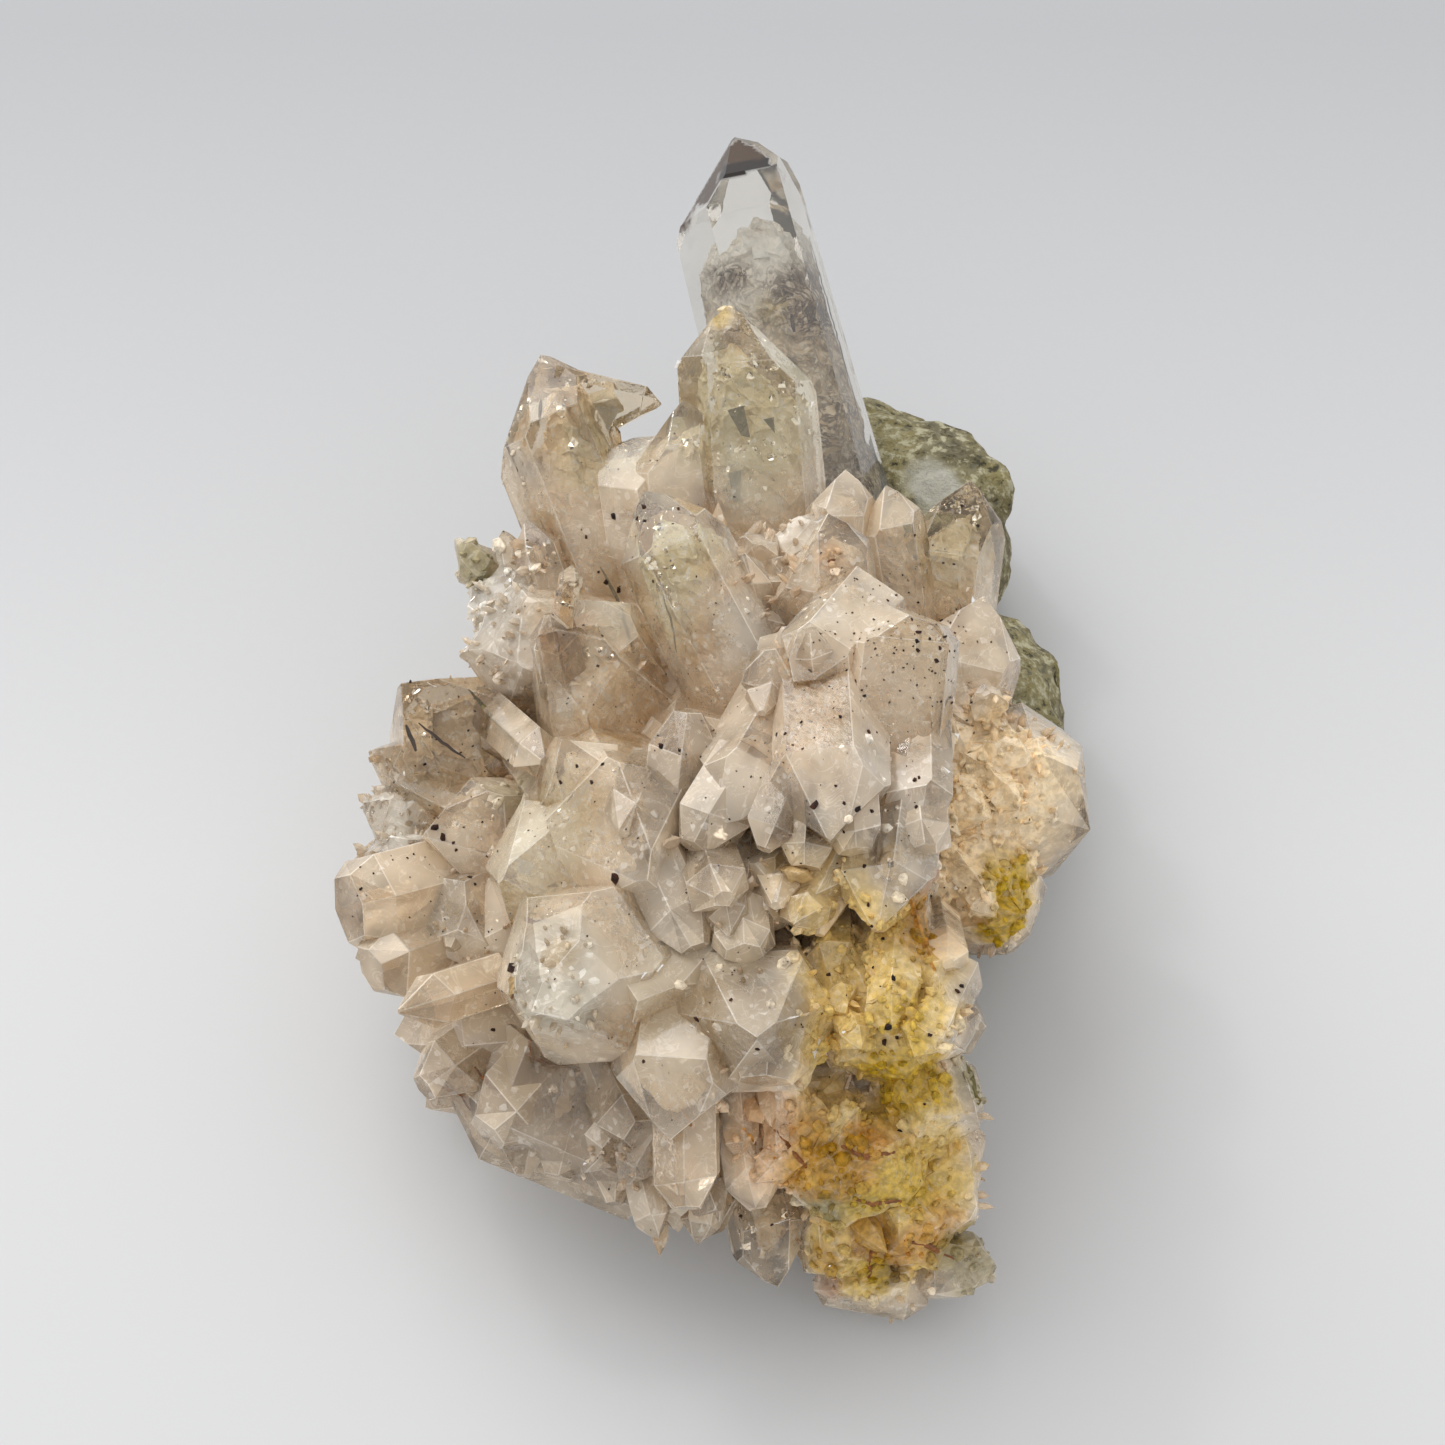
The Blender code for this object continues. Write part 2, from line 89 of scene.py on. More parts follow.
# Stains: across, up, reach, tint, strength
STAINS = (
    (-28.0, 4.0, 5.0, "smoke", 0.6), (-24.5, -1.0, 6.5, "smoke", 0.45), (-18.0, -6.0, 2.6, "olive", 0.5),
    (-18.6, 25.0, 3.2, "golden", 0.9), (-17.5, 22.0, 2.2, "brown", 0.4), (-15.7, 31.0, 2.6, "smoke", 0.6),
    (-10.0, 24.0, 5.0, "green", 0.6), (-0.2, 35.0, 1.5, "straw", 1.0), (-2.4, 29.5, 4.5, "white", 0.8),
    (3.5, 32.0, 3.4, "white", 0.6), (-7.0, 14.0, 8.0, "green", 0.8),
    (3.0, 27.0, 8.0, "green", 0.8), (-18.0, -10.0, 7.0, "green", 0.5), (-2.0, -24.0, 6.0, "green", 0.3),
    (2.0, 9.0, 6.0, "pink", 0.7), (-3.0, 0.0, 5.0, "pink", 0.7), (10.0, 0.0, 8.0, "pink", 0.6),
    (-31.0, -15.0, 6.0, "pink", 0.6), (-25.0, -30.0, 8.0, "pink", 0.7), (-12.0, -36.0, 9.0, "pink", 0.6),
    (-15.6, -22.5, 5.5, "milk", 0.9), (-14.0, -37.0, 8.0, "smoke", 0.35),
    (-23.0, -32.0, 6.0, "smoke", 0.25), (6.0, 17.4, 4.0, "white", 0.5), (7.5, 9.5, 3.2, "white", 0.5),
    (13.0, -2.0, 3.4, "white", 0.6), (-29.0, -8.0, 4.0, "white", 0.9), (-20.5, 10.5, 4.5, "white", 1.0), (-19.5, 5.5, 4.0, "white", 1.0),
    (-28.5, -9.5, 3.4, "white", 1.0), (22.0, -2.0, 3.0, "white", 0.4),
    (24.0, -6.0, 8.5, "beige", 1.0), (23.0, -13.0, 7.0, "beige", 0.9), (25.0, -14.6, 3.4, "yellow", 1.0),
    (24.0, -18.2, 2.8, "yellow", 1.0), (17.2, -18.0, 3.4, "orange", 0.9), (17.8, -14.5, 2.0, "rust", 0.7),
    (9.0, -14.5, 5.0, "straw", 0.7), (13.0, -22.0, 7.5, "straw", 0.95), (12.0, -28.0, 6.5, "straw", 0.9),
    (16.0, -31.5, 4.6, "yellow", 0.95), (10.5, -33.0, 4.6, "yellow", 0.7), (12.8, -38.0, 3.6, "orange", 0.9),
    (8.0, -38.5, 3.4, "yellow", 0.9), (17.5, -39.0, 5.0, "straw", 1.0), (10.0, -42.6, 3.4, "olive", 0.9),
    (15.0, -42.0, 5.0, "yellow", 0.7), (17.0, -46.0, 4.5, "straw", 1.0), (9.6, -46.0, 4.0, "straw", 1.0), (13.6, -45.0, 2.4, "rust", 0.8), (14.0, -47.7, 1.6, "brown", 1.0),
    (18.0, -45.0, 3.4, "orange", 0.6), (21.5, -46.0, 4.0, "olive", 0.7), (21.6, -31.0, 2.6, "olive", 0.7),
    (12.0, -48.4, 2.6, "yellow", 0.8), (9.2, -48.6, 1.8, "rust", 0.7), (4.5, -37.0, 5.0, "orange", 0.6), (16.5, -26.0, 3.6, "yellow", 0.6),
    (26.0, 9.0, 6.0, "grey", 0.8), (28.6, 4.0, 2.6, "olive", 0.9), (9.6, 14.2, 1.3, "orange", 0.6),
    (-21.4, 13.8, 2.6, "olive", 0.8), (23.0, -38.0, 3.6, "pink", 0.7), (3.0, -17.0, 5.0, "golden", 0.3),
    (0.0, -25.0, 6.0, "golden", 0.2), (24.0, -26.0, 4.0, "white", 0.6), (20.0, 17.0, 5.0, "green", 0.6),
    (-19.0, 4.0, 4.0, "pink", 0.5), (-13.0, 7.0, 4.5, "smoke", 0.3), (3.0, -26.0, 5.5, "smoke", 0.7), (-1.0, -7.0, 4.0, "smoke", 0.4),
    (2.5, 8.0, 3.5, "white", 0.7), (-6.0, -16.0, 4.5, "white", 0.5),
    (-16.5, -29.0, 3.0, "golden", 0.4), (-14.0, -20.0, 1.6, "golden", 0.5), (16.0, -10.0, 3.4, "white", 0.5),
    (10.0, -38.6, 3.0, "amber", 0.9), (13.4, -44.4, 2.4, "amber", 0.8), (17.6, -18.6, 3.0, "amber", 0.9),
    (8.6, -46.4, 1.8, "amber", 0.7),
)

# Sugary, broken ground: across, up, reach, strength
SUGAR = (
    (-20.5, 9.5, 6.0, 0.9), (-19.0, 5.0, 3.0, 0.8), (-29.5, -8.0, 4.5, 0.9), (-16.0, -23.5, 5.0, 1.0), (6.0, 17.0, 4.0, 0.8),
    (24.0, -4.0, 9.0, 0.9), (23.0, -14.0, 8.0, 0.9), (14.0, -24.0, 7.5, 0.7), (13.0, -35.0, 9.0, 1.0),
    (15.0, -44.0, 9.0, 1.0), (4.0, -38.0, 5.0, 0.5), (26.0, 8.0, 6.0, 0.6), (3.0, 12.0, 4.5, 0.5),
    (24.0, -25.0, 4.5, 0.9), (3.0, -16.0, 5.0, 0.5), (-24.0, -20.0, 3.5, 0.5), (-8.0, -38.5, 4.5, 0.4),
)

# Hollows between the large crystals that medium ones fill: across, up, reach, strength
HOLLOWS = (
    (0.0, -7.5, 5.0, 1.0), (4.5, -8.5, 4.0, 1.0), (8.0, -12.0, 4.0, 0.8), (-2.0, -12.0, 3.5, 0.6),
    (-9.0, 0.5, 4.0, 0.5), (-14.0, 12.0, 4.0, 0.5), (3.0, 13.0, 4.0, 0.7), (0.0, -33.0, 5.0, 0.8),
    (-20.0, -13.0, 4.0, 0.4), (-6.0, -21.0, 3.5, 0.4), (14.0, -16.0, 3.0, 0.6),
)

# Clear tips: across, up, reach, strength
CLEAR = (
    (-15.0, 29.0, 8.0, 0.9), (1.0, 31.0, 9.0, 0.8), (-8.0, 26.0, 4.0, 0.8), (-7.0, 16.0, 8.0, 0.5),
    (-26.0, 0.0, 7.0, 0.8), (-28.0, -9.0, 5.0, 0.6), (21.0, 17.0, 7.0, 0.6), (10.0, -10.0, 5.0, 0.4),
    (-4.0, -36.0, 6.0, 0.4), (-14.0, 8.0, 6.0, 0.4), (-33.0, -14.0, 6.0, 0.4), (4.0, -46.0, 6.0, 0.5),
)

# Specks that stand out: across, up, diameter
SPECKS = (
    (-9.4, 17.9, 0.7), (-6.8, 18.6, 0.6), (-7.4, 17.6, 0.4), (-6.7, 17.4, 0.4), (-11.8, 16.0, 0.4),
    (-10.1, 12.1, 0.7), (-10.7, 13.0, 0.4), (-9.0, 11.4, 0.6), (-6.0, 12.2, 0.4), (-3.8, 18.5, 0.4),
    (-10.4, 7.5, 0.4), (-12.0, 8.4, 0.4), (-10.8, 4.9, 0.4), (-22.2, 4.2, 0.4), (-27.0, 3.5, 0.4),
    (-28.7, 2.8, 0.4), (20.7, 18.7, 0.5), (22.1, 17.0, 0.4), (16.6, 16.2, 0.4), (16.4, 8.9, 0.4),
    (16.9, 7.8, 0.6), (16.8, 7.0, 0.5), (16.9, 6.2, 0.5), (17.9, 7.2, 0.4), (18.5, 5.3, 0.6),
    (18.8, 6.4, 0.4), (19.2, 7.4, 0.4), (19.7, 8.6, 0.4), (18.9, 8.8, 0.4), (19.6, 6.2, 0.4),
    (16.9, 10.4, 0.4), (15.0, 11.0, 0.4), (13.1, 8.9, 0.4), (11.4, 7.7, 0.4), (10.7, 4.5, 0.4),
    (11.5, 3.6, 0.4), (12.3, 2.3, 0.4), (10.2, 0.5, 0.5), (6.8, 0.0, 0.4), (4.7, -1.0, 0.4),
    (5.4, -1.0, 0.4), (6.9, -2.3, 0.4), (12.6, -0.8, 0.7), (19.8, 1.7, 0.5), (21.5, 1.7, 0.4),
    (16.6, -5.0, 0.7), (17.0, -4.8, 0.4), (7.9, -7.2, 0.9), (10.5, -7.0, 0.5), (11.6, -7.5, 0.7),
    (12.9, -7.7, 0.5), (10.5, -9.5, 0.4), (9.8, -5.5, 0.4), (16.8, -7.3, 0.5), (-5.3, -2.0, 0.7),
    (-3.7, -2.4, 0.4), (-1.9, -3.0, 0.4), (-25.7, -3.6, 0.4), (-22.0, -0.7, 0.4), (-18.5, -3.3, 0.4),
    (-12.6, -3.8, 0.4), (-10.4, -3.6, 0.5), (-14.0, -5.2, 0.4), (-11.3, -5.2, 0.5), (-24.8, -9.1, 0.9),
    (-24.2, -10.0, 0.8), (-23.3, -10.4, 0.5), (-23.0, -11.0, 0.5), (-21.8, -13.4, 0.5), (-21.4, -14.0, 0.4),
    (-31.3, -14.4, 0.4), (-9.2, -13.4, 1.2), (-18.1, -21.3, 1.5), (-19.8, -26.6, 0.5), (-6.8, -29.3, 0.5),
    (-27.9, -27.5, 0.4), (-2.2, -25.7, 0.8), (0.7, -24.0, 0.5), (3.0, -28.2, 0.5), (9.2, -21.8, 0.5),
    (14.8, -22.1, 0.8), (14.3, -26.3, 1.0), (14.0, -27.6, 0.6), (15.1, -27.2, 0.5), (13.0, -21.2, 0.4),
    (17.9, -27.0, 0.5), (20.3, -23.2, 0.7), (20.7, -22.8, 0.5), (22.7, -24.3, 0.4), (13.9, -18.7, 0.4),
    (12.9, -17.6, 0.4), (12.6, -15.8, 0.5), (12.3, -12.4, 0.5), (18.0, -15.0, 0.4), (17.5, -33.0, 0.4),
    (15.4, -35.3, 0.5), (1.6, -42.7, 0.5), (4.3, -43.4, 0.4), (23.6, 21.0, 0.9), (22.8, 22.4, 0.6),
)


# Helpers for places and meshes

def seen_line(across, up):
    """The eye and the direction in which a place is seen from the front, in metres."""
    place = SIGHT_CENTRE + across * RIGHT + up * UPWARD
    return EYE * MM, (place - EYE).normalized()


class Surfaces:
    """The solids of the part, for finding the surface under a place as it is seen."""

    def __init__(self, names):
        self.trees = {}
        for name in names:
            self.add(name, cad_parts[name].data)

    def add(self, name, mesh):
        """Takes one more surface into account."""
        shape = bmesh.new()
        shape.from_mesh(mesh)
        self.trees[name] = BVHTree.FromBMesh(shape)
        shape.free()

    def seen(self, across, up):
        """The nearest surface point seen there, its normal and its node, or None."""
        eye, way = seen_line(across, up)
        found = None
        for name, tree in self.trees.items():
            place, normal, _, reach = tree.ray_cast(eye, way)
            if place is not None and (found is None or reach < found[3]):
                found = (place, normal, name, reach)
        return found


SURFACES = Surfaces(("rock_matrix", "quartz_cluster", "tall_point"))


def merged_copy(node):
    """A copy of a solid with its loose triangles joined."""
    shape = bmesh.new()
    shape.from_mesh(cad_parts[node].data)
    bmesh.ops.remove_doubles(shape, verts=shape.verts, dist=1e-6)
    bmesh.ops.dissolve_degenerate(shape, edges=shape.edges, dist=1e-6)
    bmesh.ops.triangulate(shape, faces=shape.faces)
    return shape


def refine(shape, longest):
    """Splits edges until none is much longer than the given length."""
    for _ in range(7):
        long_edges = [edge for edge in shape.edges if edge.calc_length() > longest]
        if not long_edges:
            break
        bmesh.ops.subdivide_edges(shape, edges=long_edges, cuts=1, use_grid_fill=False)
        bmesh.ops.triangulate(shape, faces=[face for face in shape.faces if len(face.verts) > 3])


def soften(shape, width, sharpness):
    """Gives each flat face its own tone and cuts a narrow face along every sharp edge, which the finish paints lighter
    as a painted edge highlight, partly chip whitening.
    """
    tone = shape.faces.layers.float.new("tone")
    rim = shape.faces.layers.float.new("rim")
    for face in shape.faces:
        flat = tuple(round(value, 1) for value in face.normal) + (round(face.normal.dot(face.verts[0].co) / MM),)
        face[tone] = random.Random(str(flat)).random()
    edges = [edge for edge in shape.edges if edge.is_manifold and edge.is_convex
             and edge.calc_face_angle() > sharpness and edge.calc_length() > EDGE_LEAST]
    cut = bmesh.ops.bevel(shape, geom=edges, offset=width, offset_type="OFFSET", segments=1, profile=0.5,
                          affect="EDGES", clamp_overlap=False)
    for face in cut["faces"]:
        face[rim] = 1.0
    bmesh.ops.dissolve_degenerate(shape, edges=shape.edges, dist=1e-6)
    bmesh.ops.triangulate(shape, faces=shape.faces)


def add_object(name, mesh):
    """A new object in the scene with this mesh."""
    made = bpy.data.objects.new(name, mesh)
    bpy.context.scene.collection.objects.link(made)
    return made


def to_object(name, shape):
    """Turns a shape into an object."""
    mesh = bpy.data.meshes.new(name)
    shape.to_mesh(mesh)
    shape.free()
    return add_object(name, mesh)


def coordinates(mesh):
    """The places of a mesh's points, one row each."""
    found = np.zeros(len(mesh.vertices) * 3, np.float32)
    mesh.vertices.foreach_get("co", found)
    return found.reshape(-1, 3)


def store(mesh, name, values):
    """Keeps one number or one colour for each point of a mesh."""
    kind, key = ("FLOAT", "value") if values.ndim == 1 else ("FLOAT_COLOR", "color")
    if kind == "FLOAT_COLOR":
        values = np.hstack([values, np.ones((len(values), 1))])
    layer = mesh.attributes.new(name, kind, "POINT")
    layer.data.foreach_set(key, values.astype(np.float32).ravel())


def cloud(places, size, shift=0.0):
    """Smooth noise from about -1 to 1 at each place, with features of this size in millimetres."""
    scaled = places / (size * MM) + shift
    return np.array([noise.noise(place) for place in scaled.tolist()])


def spread(places, centre, reach, ragged):
    """How strongly a spot of this reach shows at each place, with a ragged edge."""
    away = np.linalg.norm(places - np.array(centre), axis=1) / (reach * MM) + ragged
    near = np.clip((1.2 - away) / 0.55, 0.0, 1.0)
    return near * near * (3.0 - 2.0 * near)


def finish_piece(piece, slot, *replaced):
    """Fastens a finished piece to the specimen."""
    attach(piece, "root")
    if replaced:
        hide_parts(*replaced)
    return piece


# Helpers for node trees

class Graph:
    """Adds nodes to a tree and joins them."""

    def __init__(self, tree):
        self.tree = tree

    def add(self, kind, inputs=(), output=0, **settings):
        """Adds a node, sets or joins its inputs and gives back one output."""
        node = self.tree.nodes.new(kind)
        for key, value in settings.items():
            setattr(node, key, value)
        for key, value in dict(inputs).items():
            if isinstance(value, bpy.types.NodeSocket):
                self.tree.links.new(value, node.inputs[key])
            else:
                node.inputs[key].default_value = value
        return node.outputs[output]

    def math(self, operation, first, second=0.0, clamp=False):
        """One sum on numbers."""
        return self.add("ShaderNodeMath", {0: first, 1: second}, operation=operation, use_clamp=clamp)

    def vector(self, operation, first, second=(0.0, 0.0, 0.0), **more):
        """One sum on vectors."""
        inputs = {0: first, 1: second, **more}
        return self.add("ShaderNodeVectorMath", inputs, operation=operation)

    def scaled(self, vector, factor):
        """A vector times a number."""
        return self.add("ShaderNodeVectorMath", {0: vector, "Scale": factor}, operation="SCALE")

    def mix(self, factor, first, second, blend="MIX"):
        """A mix of two colours."""
        node = self.tree.nodes.new("ShaderNodeMix")
        node.data_type = "RGBA"
        node.blend_type = blend
        for key, value in (("Factor_Float", factor), ("A_Color", first), ("B_Color", second)):
            socket = next(s for s in node.inputs if s.identifier == key)
            if isinstance(value, bpy.types.NodeSocket):
                self.tree.links.new(value, socket)
            elif key == "Factor_Float":
                socket.default_value = value
            else:
                socket.default_value = (*value, 1.0)
        return next(s for s in node.outputs if s.identifier == "Result_Color")

    def ranged(self, value, low, high, to_low=0.0, to_high=1.0):
        """A number stretched from one range to another and kept inside it."""
        inputs = {"Value": value, "From Min": low, "From Max": high, "To Min": to_low, "To Max": to_high}
        return self.add("ShaderNodeMapRange", inputs)

    def noise(self, place, size, detail=3.0, roughness=0.55, distortion=0.0):
        """Noise with features of this size in millimetres."""
        inputs = {"Vector": place, "Scale": 1.0 / (size * MM), "Detail": detail, "Roughness": roughness,
                  "Distortion": distortion}
        return self.add("ShaderNodeTexNoise", inputs)


class Finish(Graph):
    """The node tree of one material."""

    def __init__(self, name):
        self.material = bpy.data.materials.new(name)
        self.material.use_nodes = True
        super().__init__(self.material.node_tree)
        self.shader = self.tree.nodes["Principled BSDF"]
        self.place = self.add("ShaderNodeTexCoord", output="Object")

    def attribute(self, name, output="Fac"):
        """A value or a colour kept on the mesh."""
        return self.add("ShaderNodeAttribute", output=output, attribute_name=name)

    def set(self, **inputs):
        """Sets or joins inputs of the shader; underscores stand for spaces."""
        for key, value in inputs.items():
            socket = self.shader.inputs[key.replace("_", " ")]
            if isinstance(value, bpy.types.NodeSocket):
                self.tree.links.new(value, socket)
            else:
                socket.default_value = value

    def absorb(self, colour, density):
        """Tints light by the way it goes inside."""
        node = self.tree.nodes.new("ShaderNodeVolumeAbsorption")
        node.inputs["Color"].default_value = (*colour, 1.0)
        node.inputs["Density"].default_value = density
        self.tree.links.new(node.outputs[0], self.tree.nodes["Material Output"].inputs["Volume"])

    def tilted(self, size, amount, normal=None):
        """The surface normal tilted at random from cell to cell, as on tiny crystal faces."""
        if normal is None:
            normal = self.add("ShaderNodeNewGeometry", output="Normal")
        cells = self.add("ShaderNodeTexVoronoi", {"Vector": self.place, "Scale": 1.0 / (size * MM)}, output="Color")
        lean = self.vector("SUBTRACT", cells, (0.5, 0.5, 0.5))
        return self.vector("NORMALIZE", self.vector("ADD", normal, self.scaled(lean, amount)))

    def bump(self, height, distance, strength=1.0, normal=None):
        """A normal from a height in millimetres."""
        inputs = {"Height": height, "Distance": distance * MM, "Strength": strength}
        if normal is not None:
            inputs["Normal"] = normal
        return self.add("ShaderNodeBump", inputs)


# Sizes and colours that a user would change

class QuartzSettings(bpy.types.PropertyGroup):
    """Crystals and their milky heart."""

    facet_length: FloatProperty(name="Facet mesh length", description="Longest edge in the crystals' fine mesh",
                                default=0.0012, unit="LENGTH")
    heart_depth: FloatProperty(name="Heart depth", description="How far the milky heart lies under the surface",
                               default=0.0013, unit="LENGTH")
    heart_grid: FloatProperty(name="Heart grid", description="Grid size of the milky heart's mesh",
                              default=0.0007, unit="LENGTH")
    tint: FloatVectorProperty(name="Body tint", description="Colour of the milky quartz", size=3,
                              default=TINTS["body"][0], subtype="COLOR", min=0.0, max=1.0)
    small_density: FloatProperty(name="Small crystals", description="How many grow on a square metre of sugary ground",
                                 default=800000.0)
    small_size: FloatProperty(name="Small crystal length", description="Length of the longest small crystal",
                              default=0.0015, unit="LENGTH")
    crevice_density: FloatProperty(name="Crevice crystals", default=45000.0,
                                   description="How many medium crystals grow on a square metre between large ones")
    crevice_size: FloatProperty(name="Crevice crystal length", description="Length of the longest medium crystal",
                                default=0.0042, unit="LENGTH")


class StageSettings(bpy.types.PropertyGroup):
    """Floor and light."""

    floor_tint: FloatVectorProperty(name="Floor", description="Colour of the floor", size=3,
                                    default=(0.63, 0.633, 0.635), subtype="COLOR", min=0.0, max=1.0)
    # The far floor colour is darker: painted shade for the light falling off towards the back
    far_tint: FloatVectorProperty(name="Far floor", description="Colour of the floor further away", size=3,
                                  default=(0.43, 0.436, 0.446), subtype="COLOR", min=0.0, max=1.0)
    light: FloatProperty(name="Light", description="Strength of the light from all round", default=0.88)
    panel: FloatProperty(name="Panel", description="Power of the large soft light", default=9.5, unit="POWER")
    window: FloatProperty(name="Window", description="Power of the small soft light", default=0.45, unit="POWER")


def crevices(places):
    """How deep each place lies between other crystals, for the painted shade in crevices: 0 in the open, 1 shut in."""
    tree = SURFACES.trees["quartz_cluster"]
    ways = []
    for step in range(CREVICE_RAYS):
        height = 1.0 - (step + 0.5) / CREVICE_RAYS
        flat = math.sqrt(1.0 - height * height)
        turn = step * GOLDEN_ANGLE
        ways.append(Vector((flat * math.cos(turn), flat * math.sin(turn), height)))
    found = np.zeros(len(places))
    for index, place in enumerate(places.tolist()):
        spot, normal, _, _ = tree.find_nearest(place)
        turned = normal.to_track_quat("Z", "Y")
        start = spot + normal * 0.15 * MM
        shut = 0.0
        for way in ways:
            hit = tree.ray_cast(start, turned @ way, CREVICE_REACH)
            if hit[0] is not None:
                shut += 1.0 - hit[3] / CREVICE_REACH
        found[index] = shut / CREVICE_RAYS
    return found


# How shut in a place is: rays sent out and how far they look; and the darker, warmer tint painted into crevices as
# painted shade
CREVICE_RAYS = 9
CREVICE_REACH = 9.0 * MM
GOLDEN_ANGLE = 2.39996
CREVICE_SHADE_TINT = np.array((0.97, 0.79, 0.58))


def fields(places):
    """Tint with painted shade in its crevices, stain, sugariness, clearness and crevices at each place of the quartz.
    """
    ragged = 0.30 * cloud(places, 3.2) + 0.22 * cloud(places, 1.1, 7.0)
    tint = np.tile(np.array(bpy.context.scene.quartz.tint[:]), (len(places), 1))
    drift = (0.5 + 0.7 * cloud(places, 9.0, 3.0))[:, None]
    tint = tint * (1.0 - 0.4 * drift) + np.array(TINTS["pink"][0]) * 0.4 * drift
    shut = crevices(places)
    # Painted shade: the tint is pulled towards a darker, warmer colour where a place is shut in between crystals
    fill = np.clip(1.3 * shut, 0.0, 1.0)[:, None]
    tint = tint * (1.0 - fill) + CREVICE_SHADE_TINT * fill
    cover = np.zeros(len(places))
    for across, up, reach, name, strength in STAINS:
        hit = SURFACES.seen(across, up)
        if hit is None:
            continue
        colour, covering = TINTS[name]
        amount = strength * spread(places, hit[0], reach, ragged)
        cover = cover * (1.0 - amount) + covering * amount
        tint = tint * (1.0 - amount[:, None]) + np.array(colour) * amount[:, None]
    haze = np.clip(0.5 + 0.6 * cloud(places, 4.0, 17.0) + 0.4 * cloud(places, 2.0, 19.0), 0.0, 1.0)
    found = {"tint": np.clip(tint, 0.0, 1.0), "cover": cover, "shut": shut, "haze": haze}
    for name, rows in (("sugar", SUGAR), ("clear", CLEAR), ("hollow", HOLLOWS)):
        found[name] = np.zeros(len(places))
        for across, up, reach, strength in rows:
            hit = SURFACES.seen(across, up)
            if hit is not None:
                found[name] = np.maximum(found[name], strength * spread(places, hit[0], reach, ragged))
    return found


def keep_fields(mesh, found):
    """Stores the fields on a mesh."""
    for name, values in found.items():
        store(mesh, name, values)


# Quartz finishes

SMALL_TONE = (0.97, 0.90, 0.82)


def crystal_finish(name, clearest, cloudiest, inner_tint, toned=True):
    """Glossy quartz faces, clear over the milky heart and cloudier on sugary and stained ground."""
    look = Finish(name)
    tint, sugar, clear = look.attribute("tint", "Color"), look.attribute("sugar"), look.attribute("clear")
    cover, haze = look.attribute("cover"), look.attribute("haze")
    grain = look.noise(look.place, 0.6, 2.0, 0.6)
    veil = look.noise(look.place, 2.6, 3.0, 0.65, 1.4)
    wisps = look.ranged(look.math("ABSOLUTE", look.math("SUBTRACT", veil, 0.5)), 0.022, 0.004)
    fine = look.ranged(grain, 0.35, 0.65, 0.62, 1.25)
    mottled = look.mix(cover, tint, look.mix(1.0, tint, fine, "MULTIPLY"))
    if toned:
        tone, rim = look.attribute("tone"), look.attribute("rim")
        mottled = look.mix(look.ranged(tone, 0.0, 1.0, 0.0, 0.17), mottled, (0.55, 0.42, 0.29))
    shade = look.mix(look.math("MULTIPLY", wisps, 0.12), mottled, (0.98, 0.97, 0.95))
    if not toned:
        shade = look.mix(1.0, shade, SMALL_TONE, "MULTIPLY")
    elif not inner_tint:
        shade = look.mix(0.5, shade, (0.97, 0.79, 0.57))
    # Painted glints: tiny cells in veiled patches are painted near-white and made less clear, standing for sparkles
    cells = look.add("ShaderNodeTexVoronoi", {"Vector": look.place, "Scale": 1.0 / (0.45 * MM)}, output="Color")
    painted_glint = look.ranged(look.add("ShaderNodeSeparateColor", {"Color": cells}), 0.90, 0.93)
    painted_glint = look.math("MULTIPLY", painted_glint, look.ranged(veil, 0.42, 0.62, 0.0, 0.4))
    shade = look.mix(look.math("MULTIPLY", painted_glint, look.math("SUBTRACT", 1.0, cover)), shade, (1.0, 0.98, 0.93))
    openness = look.math("ADD", look.ranged(haze, 0.0, 1.0, clearest, cloudiest), look.math("MULTIPLY", clear, 0.40))
    openness = look.math("SUBTRACT", openness, look.math("MULTIPLY", sugar, 0.20))
    openness = look.math("SUBTRACT", openness, look.math("MULTIPLY", wisps, 0.10))
    openness = look.math("SUBTRACT", openness, look.math("MULTIPLY", painted_glint, 0.5))
    if toned:
        # Painted edge highlight, partly chip whitening: the narrow edge faces are painted near-white and made less
        # clear
        rim = look.math("MULTIPLY", rim, look.math("SUBTRACT", 1.0, cover))
        shade = look.mix(look.math("MULTIPLY", rim, 0.35), shade, (0.99, 0.95, 0.88))
        openness = look.math("SUBTRACT", openness, look.math("MULTIPLY", rim, 0.15))
        openness = look.math("ADD", openness, look.ranged(tone, 0.0, 1.0, -0.16, 0.16))
    openness = look.math("SUBTRACT", openness, cover, clamp=True)
    rough = look.math("ADD", look.ranged(grain, 0.3, 0.8, 0.02, 0.09), look.math("MULTIPLY", cover, 0.45))
    lean = look.math("ADD", look.math("MULTIPLY", sugar, 0.4), 0.02)
    normal = look.bump(grain, 0.05, 0.5, look.tilted(1.1, lean))
    look.set(Base_Color=shade, Transmission_Weight=openness, Roughness=rough, Normal=normal, IOR=1.544)
    return look.material


def stained_finish():
    """Stained grains that hide what lies under them."""
    look = Finish("stained_quartz_grains")
    grain = look.noise(look.place, 0.6, 2.0, 0.6)
    tint = look.attribute("tint", "Color")
    shade = look.mix(1.0, tint, look.ranged(grain, 0.35, 0.65, 0.6, 1.3), "MULTIPLY")
    look.set(Base_Color=shade, Roughness=look.ranged(grain, 0.3, 0.7, 0.2, 0.6), Transmission_Weight=0.12,
             IOR=1.5, Specular_IOR_Level=0.25, Normal=look.bump(grain, 0.1, 0.6))
    return look.material


